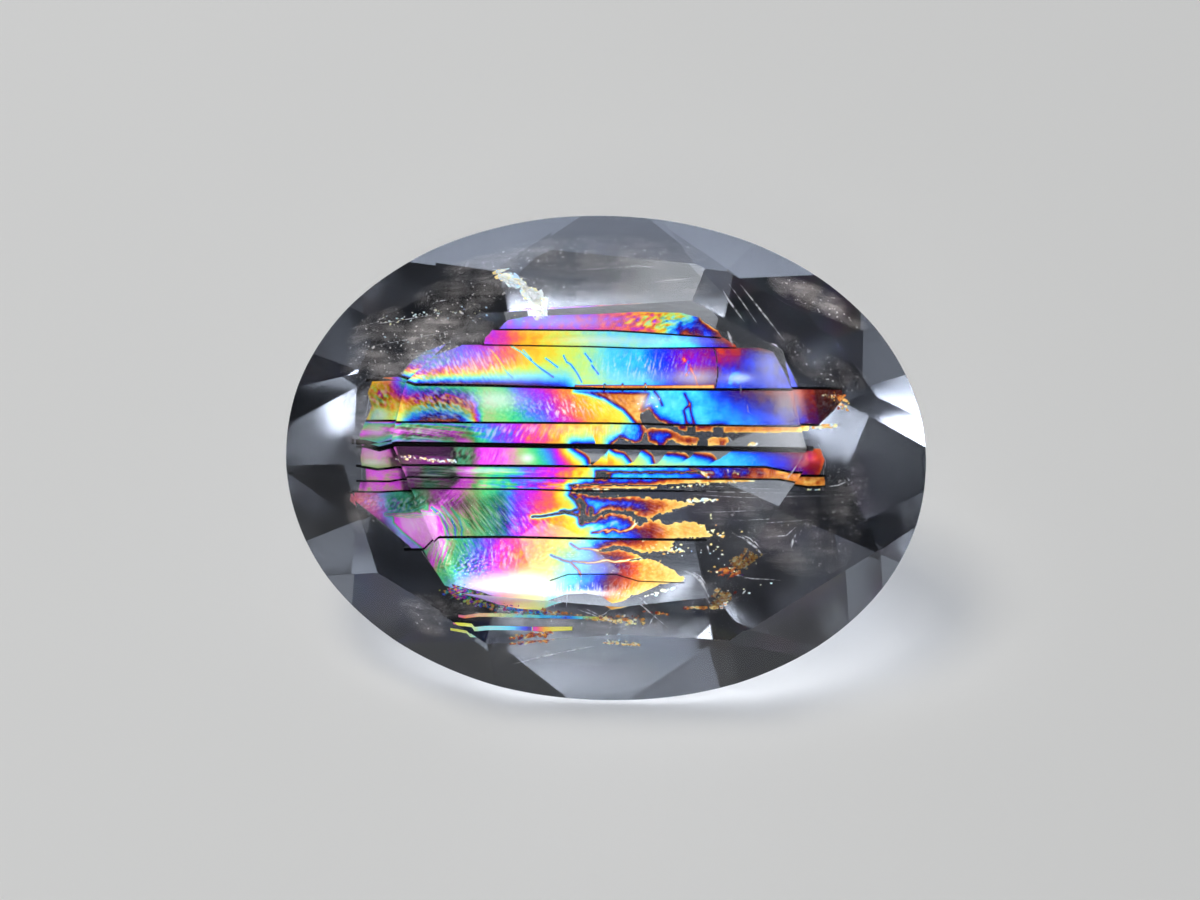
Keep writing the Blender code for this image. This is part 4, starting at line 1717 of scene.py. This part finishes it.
@dataclass
class Parting:
    """The iridescent parting: its levels, the steps between them and the painted shade over the risers.

    Attributes:
        steps: The steps, by name.
        terraces: The levels, by name.
        closures: Where the gap is closed.
        cracks: Lines along which it closes.
        patches: Flakes with a gap of their own.
        shades_and_highlights: Darker places, and painted highlights.
        glows: Paler places, partly painted highlights and sheens.
        grains: Rough places.
        sheens: Flat-edged paler and darker areas, the paler partly a painted sheen.
        flecks: Scatters of small flakes.
        turn: How far the steps lean from the oval's length, in degrees.
        depth: Height of the parting in the stone frame, in millimetres.
        riser: Height of a riser, in micrometres.
        lift: How far the painted shade of a riser lies above the higher film, in micrometres.
        line_margin: How much wider a riser's painted shade is made than the riser, in micrometres.
        cell: Size of the mesh's cells, in micrometres.
        thinnest: Optical path of the gap below which no film is made, in nanometres.
        rim: Optical path of the gap beside a closure.
        opening: How fast the gap opens over a fringe.
        swell: Size of the swells in which the gap wanders, in micrometres.
        flake_swell: The same on a flake with a gap of its own.
        closure_reach: How far from a closure it is felt, in micrometres.
        crack_reach: How far from a crack it is felt.
        crack_stray: How far a crack strays from its route.
        crack_swell: Size of those strays.
        ridges: Heights of the rough places' strokes between which they turn dark.
        hollows: Depths of the strokes between which they turn pale.
        fleck_sides: Sides of a small flake.
        probes: At how many places a level's width is measured.
    """

    steps: dict[str, Step] = field(default_factory=lambda: STEPS)
    terraces: dict[str, Terrace] = field(default_factory=lambda: TERRACES)
    closures: tuple[Closure, ...] = CLOSURES
    cracks: tuple[Crack, ...] = CRACKS
    patches: tuple[Patch, ...] = PATCHES
    shades_and_highlights: tuple[Spot, ...] = SHADES_AND_HIGHLIGHTS
    glows: tuple[Spot, ...] = GLOWS
    grains: tuple[Grain, ...] = GRAINS
    sheens: tuple[Sheen, ...] = SHEENS
    flecks: tuple[FleckField, ...] = FLECKS
    turn: float = 2.0
    depth: float = 0.2
    riser: float = 30.0
    lift: float = 12.0
    line_margin: float = 8.0
    cell: float = 12.5
    thinnest: float = 240.0
    rim: float = 345.0
    opening: float = 1.6
    swell: float = 120.0
    flake_swell: float = 60.0
    closure_reach: float = 300.0
    crack_reach: float = 200.0
    crack_stray: float = 9.0
    crack_swell: float = 80.0
    ridges: Place = (0.0, 0.55)
    hollows: Place = (0.1, 0.6)
    fleck_sides: int = 7
    probes: int = 40

    def opened(self, gap: Array, away: Array, fringe: float, sheer: Array) -> Array:
        """Closes the gap along an edge.

        Args:
            gap: The gap before, in nanometres.
            away: Distance from the edge, less than nothing where the gap is closed.
            fringe: Width over which the gap opens, in micrometres.
            sheer: Where it is fully open at once instead.

        Returns:
            The gap after.
        """
        opening = 1 - np.exp(-self.opening * np.clip(away, 0.0, None) / fringe)
        beside = self.rim + (gap - self.rim) * np.where(sheer, 1.0, opening)
        return np.where(away < 0, 0.0, np.minimum(gap, beside))

    def gap(self, terrace: Terrace, x: Array, y: Array, share: Array) -> Array:
        """The gap's optical path on one level.

        Args:
            terrace: The level.
            x: Places along it.
            y: Places across it.
            share: How far each place is from the lower edge to the upper one, from 0 to 1.

        Returns:
            The path at each place, in nanometres.
        """
        bent = 1 - (1 - share) ** terrace.bend
        gap = along_route(terrace.gap_above, x) * bent + along_route(terrace.gap_below, x) * (1 - bent)
        gap = gap + terrace.wander * crumple(x, y, (self.swell, self.swell), Seed.SWELL)
        for number, grain in enumerate(self.grains):
            strokes = crumple(x, y, grain.stroke, Seed.PATH + STRIDE * number, grain.lean)
            gap = gap + grain.path * Spot(grain.middle, grain.reach).at(x, y) * strokes
        self.patch(gap, x, y)
        self.close(gap, x, y)
        self.crack(gap, x, y)
        return gap

    def patch(self, gap: Array, x: Array, y: Array) -> None:
        """Gives the flakes their own gap.

        Args:
            gap: The gap at each place, which is changed.
            x: Places along the level.
            y: Places across it.
        """
        for patch in self.patches:
            some = near(patch.outline, x, y, 3 * patch.edge)
            px, py = x[some], y[some]
            inside = rise(patch.edge, -patch.edge, outside_of(patch.outline, px, py))
            ends = [place[0] for place in patch.outline]
            slope = np.clip((px - min(ends)) / (max(ends) - min(ends)), 0.0, 1.0)
            own = patch.gap_left + (patch.gap_right - patch.gap_left) * slope
            size = (self.flake_swell, self.flake_swell)
            own = own + patch.wander * crumple(px, py, size, Seed.PATCH, layers=2)
            gap[some] = gap[some] * (1 - inside) + own * inside

    def close(self, gap: Array, x: Array, y: Array) -> None:
        """Closes the gap where the parting's faces touch.

        Args:
            gap: The gap at each place, which is changed.
            x: Places along the level.
            y: Places across it.
        """
        for closure in self.closures:
            some = near(closure.outline, x, y, self.closure_reach)
            px, py = x[some], y[some]
            stray = crumple(px, py, (2 * closure.tooth, closure.tooth), Seed.CLOSURE)
            away = outside_of(closure.outline, px, py) + closure.ragged * stray
            sheer = np.zeros(px.shape, dtype=bool)
            if closure.sheer:
                edge = closure.outline[-closure.sheer:]
                sheer = distance_to(edge, px, py) < distance_to(closure.outline, px, py) + 1.0
            gap[some] = self.opened(gap[some], away, closure.fringe, sheer)

    def crack(self, gap: Array, x: Array, y: Array) -> None:
        """Closes the gap along the cracks.

        Args:
            gap: The gap at each place, which is changed.
            x: Places along the level.
            y: Places across it.
        """
        size = (self.crack_swell, self.crack_swell)
        for crack in self.cracks:
            some = near(crack.route, x, y, self.crack_reach)
            px, py = x[some], y[some]
            stray = self.crack_stray * crumple(px, py, size, Seed.CRACK, layers=2)
            away = distance_to(crack.route, px + stray, py - stray) - crack.width
            if crack.depth < 1.0:
                fade = np.exp(-self.opening * np.clip(away, 0.0, None) / crack.fringe)
                gap[some] *= 1 - crack.depth * fade
            else:
                gap[some] = self.opened(gap[some], away, crack.fringe, np.zeros(px.shape, dtype=bool))

    def dressing(self, x: Array, y: Array) -> tuple[Array, Array]:
        """How bright and how pale the film is.

        Args:
            x: Places along the parting.
            y: Places across it.

        Returns:
            Its shine, which is 1 on the plain film, and its paleness, at each place.
        """
        shine = np.ones_like(x)
        # The spots darken the film, and where their amounts are below nothing they paint highlights.
        for shade in self.shades_and_highlights:
            shine *= 1 - shade.at(x, y)
        # White is mixed in at the glows, partly as painted highlights and sheens.
        pale = sum(glow.at(x, y) for glow in self.glows)
        for number, grain in enumerate(self.grains):
            strokes = crumple(x, y, grain.stroke, Seed.SHINE + STRIDE * number, grain.lean)
            there = Spot(grain.middle, grain.reach).at(x, y)
            shine *= 1 - np.minimum(grain.dark * there, 1.0) * rise(*self.ridges, strokes)
            pale = pale + grain.pale * there * rise(*self.hollows, -strokes)
        # The paler sheens are partly a painted sheen of light.
        for sheen in self.sheens:
            some = near(sheen.outline, x, y, 2 * sheen.edge)
            inside = rise(sheen.edge, -sheen.edge, outside_of(sheen.outline, x[some], y[some]))
            if sheen.amount > 0:
                pale[some] += sheen.amount * inside
            else:
                shine[some] *= 1 + sheen.amount * inside
        return shine, pale

    def level_at(self, x: float, y: float) -> Level:
        """The level on which a place lies.

        Args:
            x: The place along the parting.
            y: The place across it.

        Returns:
            Its level, or the middle one where the place lies on none.
        """
        for terrace in self.terraces.values():
            edges = (terrace.lower, terrace.upper)
            low, high = (float(along_route(edge, np.array([x]))[0]) for edge in edges)
            if low <= y <= high:
                return terrace.level
        return Level.MIDDLE

    def scatter(self) -> BMesh:
        """Makes the scatters of small flakes.

        Returns:
            Their mesh in the parting frame, with the film's own layers.
        """
        chance = np.random.default_rng(Seed.FLECKS)
        flakes = bmesh.new()
        layers = [flakes.verts.layers.float.new(name) for name in FILM_LAYERS]
        for scatter in self.flecks:
            marks = np.linspace(0.0, 1.0, len(scatter.route))
            xs, ys = ([place[axis] for place in scatter.route] for axis in (0, 1))
            for _ in range(scatter.count):
                share = chance.random()
                x = float(np.interp(share, marks, xs)) + scatter.spread * float(chance.normal())
                aside = scatter.spread * scatter.flatness * float(chance.normal())
                y = float(np.interp(share, marks, ys)) + aside
                larger = (1 - scatter.smallest) * float(chance.random()) ** 2
                size = scatter.size * (scatter.smallest + larger)
                lean = scatter.tilt * float(chance.normal())
                made = bmesh.ops.create_circle(flakes, cap_ends=True, segments=self.fleck_sides,
                                               radius=size)
                height = self.riser * self.level_at(x, y).value
                path = scatter.path * (1 + scatter.variety * float(chance.normal()))
                for vertex in made["verts"]:
                    along = vertex.co.x * float(chance.uniform(*scatter.long))
                    across = vertex.co.y * float(chance.uniform(*scatter.wide))
                    vertex.co = turned((x, y), (along, across), lean, height)
                    for layer, value in zip(layers, (path, scatter.shine, 0.0)):
                        vertex[layer] = value
        return flakes

    def level(self, terrace: Terrace) -> BMesh:
        """Makes one level's film.

        Args:
            terrace: Its sizes.

        Returns:
            Its mesh in the parting frame, with its gap, shine and paleness on its points.
        """
        ends = [place[0] for place in terrace.upper + terrace.lower]
        start, end = min(ends), max(ends)
        start = max(start, min((place[0] for place in terrace.left), default=start))
        end = min(end, max((place[0] for place in terrace.right), default=end))
        stations = np.linspace(start, end, self.probes)
        height = np.max(along_route(terrace.upper, stations) - along_route(terrace.lower, stations))
        sheet = bmesh.new()
        columns, rows = int((end - start) / self.cell), max(2, int(height / self.cell))
        bmesh.ops.create_grid(sheet, x_segments=columns, y_segments=rows, size=0.5)
        flat = np.array([vertex.co[:2] for vertex in sheet.verts])
        x = start + (end - start) * (flat[:, 0] + 0.5)
        share = flat[:, 1] + 0.5
        low, high = along_route(terrace.lower, x), along_route(terrace.upper, x)
        y = low + (high - low) * share
        gap = self.gap(terrace, x, y, share)
        kept = (gap > self.thinnest) & (high > low)
        if terrace.left:
            kept &= x > across_route(terrace.left, y)
        if terrace.right:
            kept &= x < across_route(terrace.right, y)
        shine, pale = self.dressing(x, y)
        layers = [sheet.verts.layers.float.new(name) for name in FILM_LAYERS]
        offset = self.riser * terrace.level.value
        for vertex, *values in zip(sheet.verts, x, y, gap, shine, pale):
            vertex.co = (values[0], values[1], offset)
            for layer, value in zip(layers, values[2:]):
                vertex[layer] = value
        lost = [vertex for vertex, keep in zip(sheet.verts, kept) if not keep]
        bmesh.ops.delete(sheet, geom=lost, context="VERTS")
        return sheet

    def film(self, stone: StoneFrame, finish: Material) -> None:
        """Builds the film as one piece for each height, and the flakes as another.

        Args:
            stone: The stone's frame.
            finish: The film's material.
        """
        for level in Level:
            sheets = [self.level(terrace) for terrace in self.terraces.values() if terrace.level is level]
            self.joined(f"parting_film_{level.name.lower()}", sheets, stone, finish)
        self.joined("parting_flakes", [self.scatter()], stone, finish)

    def joined(self, name: str, sheets: list[BMesh], stone: StoneFrame,
               finish: Material) -> Piece:
        """Joins sheets of film into one piece.

        Args:
            name: The piece's name.
            sheets: The sheets, which are used up.
            stone: The stone's frame.
            finish: Its material.

        Returns:
            The piece.
        """
        whole = bmesh.new()
        carrier = bpy.data.meshes.new("sheet")
        for sheet in sheets:
            sheet.to_mesh(carrier)
            sheet.free()
            whole.from_mesh(carrier)
        bpy.data.meshes.remove(carrier)
        return add_inclusion(name, whole, stone.sheet(self.turn, self.depth), finish)

    def risers(self, stone: StoneFrame, finish: Material) -> Piece:
        """Builds the painted shade of every step, a black strip over its riser, as one piece.

        Args:
            stone: The stone's frame.
            finish: The risers' material.

        Returns:
            The risers.
        """
        whole = bmesh.new()
        for step in self.steps.values():
            start, end = step.route[0][0], step.route[-1][0]
            columns = int((end - start) / (2 * self.cell))
            made = bmesh.ops.create_grid(whole, x_segments=columns, y_segments=1, size=0.5)
            width = step.width + self.line_margin
            for vertex in made["verts"]:
                x = start + (end - start) * (vertex.co.x + 0.5)
                y = float(along_route(step.route, np.array([x]))[0]) + width * vertex.co.y
                vertex.co = (x, y, self.riser * step.level.value + self.lift)
        return add_inclusion("parting_step_shade", whole, stone.sheet(self.turn, self.depth), finish)


@dataclass
class Inclusions:
    """What else the stone holds: white cracks and scratches, a painted glint, and milky veils.

    Attributes:
        sheet: Takes a point of the parting frame to the row frame.
        lines: The cracks and scratches, and the strips of the painted glint.
        veils: The veils.
        line_cell: Length of a line's cells, in micrometres.
        tip: Width and cover of a line's tips, as shares of those at its middle.
        look_ahead: How far along a line its direction is taken, as a share of its length.
        veil_height: Height of the veils above the parting, in micrometres.
        veil_spacing: Height of each veil above the last, in micrometres.
        veil_cells: Cells along a veil.
        veil_fade: Power with which a veil fades to its edge.
    """

    sheet: Matrix
    lines: tuple[Scratch, ...] = WHITE_LINES_AND_GLINTS
    veils: tuple[Veil, ...] = VEILS
    line_cell: float = 15.0
    tip: Place = (0.25, 0.3)
    look_ahead: float = 0.02
    veil_height: float = 90.0
    veil_spacing: float = 3.0
    veil_cells: int = 24
    veil_fade: float = 0.8

    def white_marks_and_glints(self, finish: Material) -> Piece:
        """Builds the white cracks, the scratches and the painted glint as thin strips.

        Args:
            finish: Their material.

        Returns:
            The lines, with their cover on their points.
        """
        whole = bmesh.new()
        cover = whole.verts.layers.float.new("cover")
        thin, faint = self.tip
        for line in self.lines:
            spans = [Vector(end) - Vector(start) for start, end in zip(line.route, line.route[1:])]
            marks = np.concatenate(([0.0], np.cumsum([span.length for span in spans])))
            columns = max(8, int(marks[-1] / self.line_cell))
            made = bmesh.ops.create_grid(whole, x_segments=columns, y_segments=2, size=0.5)
            xs, ys = ([place[axis] for place in line.route] for axis in (0, 1))
            for vertex in made["verts"]:
                share, side = vertex.co.x + 0.5, vertex.co.y * 2
                here, ahead = marks[-1] * share, marks[-1] * min(share + self.look_ahead, 1.0)
                behind = marks[-1] * max(share - self.look_ahead, 0.0)
                run = np.interp(ahead, marks, xs) - np.interp(behind, marks, xs)
                climb = np.interp(ahead, marks, ys) - np.interp(behind, marks, ys)
                length = max(float(np.hypot(run, climb)), 1e-6)
                half = line.width * (thin + (1 - thin) * sin(pi * share)) * side / 2
                x = float(np.interp(here, marks, xs)) - half * float(climb) / length
                y = float(np.interp(here, marks, ys)) + half * float(run) / length
                vertex.co = (x, y, line.height)
                vertex[cover] = (1 - abs(side)) * (faint + (1 - faint) * sin(pi * share))
        return add_inclusion("white_lines_and_glints", whole, self.sheet, finish)

    def haze(self, finish: Material) -> Piece:
        """Builds the milky veils as thin oval sheets, one above the other.

        Args:
            finish: Their material.

        Returns:
            The veils, with their cover on their points.
        """
        whole = bmesh.new()
        cover = whole.verts.layers.float.new("cover")
        cells = self.veil_cells
        for number, veil in enumerate(self.veils):
            made = bmesh.ops.create_grid(whole, x_segments=cells, y_segments=cells, size=1.0)
            lean, height = radians(veil.lean), self.veil_height + self.veil_spacing * number
            for vertex in made["verts"]:
                along, across = vertex.co.x, vertex.co.y
                inside = max(0.0, 1 - along * along - across * across)
                vertex[cover] = veil.thickness * inside ** self.veil_fade
                offset = (along * veil.reach[0], across * veil.reach[1])
                vertex.co = turned(veil.middle, offset, lean, height)
        lost = [face for face in whole.faces if all(vertex[cover] <= 0.0 for vertex in face.verts)]
        bmesh.ops.delete(whole, geom=lost, context="FACES")
        return add_inclusion("milky_veils", whole, self.sheet, finish)


@dataclass(frozen=True)
class Picture:
    """The camera's framing.

    Attributes:
        width: Width of the frame, in pixels.
        scale: Pixels to a millimetre of the stone.
        centre: Where the stone's middle falls from the frame's middle, in pixels right and up.
        roll: How far the oval leans clockwise in the frame, in degrees.
        lens: Focal length, in millimetres.
        sensor: Width of the sensor, in millimetres.
        sight: The nearest and farthest things it sees, in metres.
    """

    width: float = 1200.0
    scale: float = 69.1
    centre: Place = (6.1, -8.4)
    roll: float = 2.0
    lens: float = 120.0
    sensor: float = 36.0
    sight: Place = (0.001, 2.0)

    def make(self, stone: StoneFrame) -> Piece:
        """Stands the camera square over the table.

        Args:
            stone: The stone's frame.

        Returns:
            The camera.
        """
        data = bpy.data.cameras.new("camera")
        data.lens = self.lens
        data.sensor_width = self.sensor
        data.clip_start, data.clip_end = self.sight
        camera = bpy.data.objects.new("camera", data)
        bpy.context.scene.collection.objects.link(camera)
        distance = self.width / self.scale * self.lens / self.sensor
        turn = Matrix.Rotation(radians(self.roll), 4, "Z")
        shift = turn @ Vector((-self.centre[0] / self.scale, -self.centre[1] / self.scale, distance))
        place = stone.matrix @ Matrix.Translation(shift) @ turn
        spot, facing, _ = place.decompose()
        camera.location = spot
        camera.rotation_mode = "QUATERNION"
        camera.rotation_quaternion = facing
        bpy.context.scene.camera = camera
        return camera


@dataclass(frozen=True)
class Lamp:
    """One soft light.

    Attributes:
        name: Its name.
        toward: Its direction from the stone, in the stone frame.
        distance: Its distance, in metres.
        size: Its width and height, in metres.
        power: Its power, in watts.
        colour: Its colour.
    """

    name: str
    toward: Triple
    distance: float
    size: Place
    power: float
    colour: Triple = (1.0, 1.0, 1.0)

    def make(self, stone: StoneFrame) -> Piece:
        """Hangs the light, facing the stone.

        Args:
            stone: The stone's frame.

        Returns:
            The light.
        """
        data = bpy.data.lights.new(self.name, "AREA")
        data.shape = "RECTANGLE"
        data.size, data.size_y = self.size
        data.energy = self.power
        data.color = self.colour
        light = bpy.data.objects.new(self.name, data)
        toward = stone.direction(*self.toward)
        light.location = stone.point(0.0, 0.0, 0.0) + toward * self.distance
        light.rotation_mode = "QUATERNION"
        light.rotation_quaternion = toward.to_track_quat("Z", "Y")
        bpy.context.scene.collection.objects.link(light)
        return light


@dataclass(frozen=True)
class Studio:
    """The floor, the light and the air around the stone.

    Attributes:
        lamps: The soft lights.
        floor_size: Width of the floor, in metres.
        floor_gap: How far the floor lies below the stone, in metres.
        air: Colour of the light all round.
        air_strength: Its strength around the table's axis, where a dark card hangs.
        far_strength: Its strength elsewhere.
        card: Cosines of the angles from that axis between which the card fades out.
    """

    lamps: tuple[Lamp, ...] = (
        Lamp("key", (-0.07, -0.135, 1.0), 0.12, (0.016, 0.014), 0.014),
        Lamp("overhead", (-0.35, 0.80, 0.48), 0.30, (0.10, 0.10), 0.60),
        Lamp("front", (0.0, 0.89, 0.45), 0.30, (0.12, 0.12), 0.022, (0.78, 0.88, 1.0)),
        Lamp("shelf", (0.0, 0.74, 0.67), 0.40, (0.05, 0.05), 0.05, (0.92, 0.96, 1.0)),
        Lamp("veil", (6.4, 1.8, 58.0), 0.058, (0.0030, 0.0030), 0.00011),
        Lamp("side", (0.95, -0.35, 0.25), 0.22, (0.06, 0.06), 0.02, (0.92, 0.96, 1.0)),
    )
    floor_size: float = 0.8
    floor_gap: float = 0.00001
    air: Colour = (0.5, 0.52, 0.56, 1.0)
    air_strength: float = 0.02
    far_strength: float = 0.07
    card: Place = (0.80, 0.35)

    def make(self, stone: StoneFrame, finish: Material) -> None:
        """Sets the studio up.

        Args:
            stone: The stone's frame.
            finish: The floor's material.
        """
        ground = bmesh.new()
        bmesh.ops.create_grid(ground, x_segments=1, y_segments=1, size=self.floor_size / 2)
        bmesh.ops.translate(ground, vec=(0.0, 0.0, -self.floor_gap), verts=ground.verts)
        mesh = bpy.data.meshes.new("floor")
        ground.to_mesh(mesh)
        ground.free()
        add_object("floor", mesh, finish)
        for lamp in self.lamps:
            lamp.make(stone)
        world = bpy.data.worlds.new("air")
        world.use_nodes = True
        nodes = Nodes(world.node_tree)
        facing = nodes.dot(nodes.add("TexCoord").outputs["Generated"], stone.direction(0.0, 0.0, 1.0))
        strength = nodes.ramp(facing, *self.card, self.air_strength, self.far_strength)
        nodes.fill(world.node_tree.nodes["Background"], {"Color": self.air, "Strength": strength})
        bpy.context.scene.world = world
        bpy.context.scene.view_settings.view_transform = "Standard"
        LOG.info("studio: %d lights", len(self.lamps))


def main() -> None:
    """Dresses the stone, builds what it holds and sets up the studio."""
    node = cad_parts["moonstone"]
    stone = StoneFrame.of_node(node)
    Picture().make(stone)
    node.data.materials.clear()
    node.data.materials.append(ClearFeldspar().make(stone))
    LOG.info("stone: polished")
    parting = Parting()
    parting.film(stone, PartingFilm().make(NewtonColours().group()))
    parting.risers(stone, StepShade().make())
    inclusions = Inclusions(stone.sheet(parting.turn, parting.depth))
    inclusions.white_marks_and_glints(BrightLine().make())
    inclusions.haze(Milk().make())
    Studio().make(stone, PaleFloor().make())


if __name__ == "__main__":
    logging.basicConfig(level=logging.INFO)
    main()
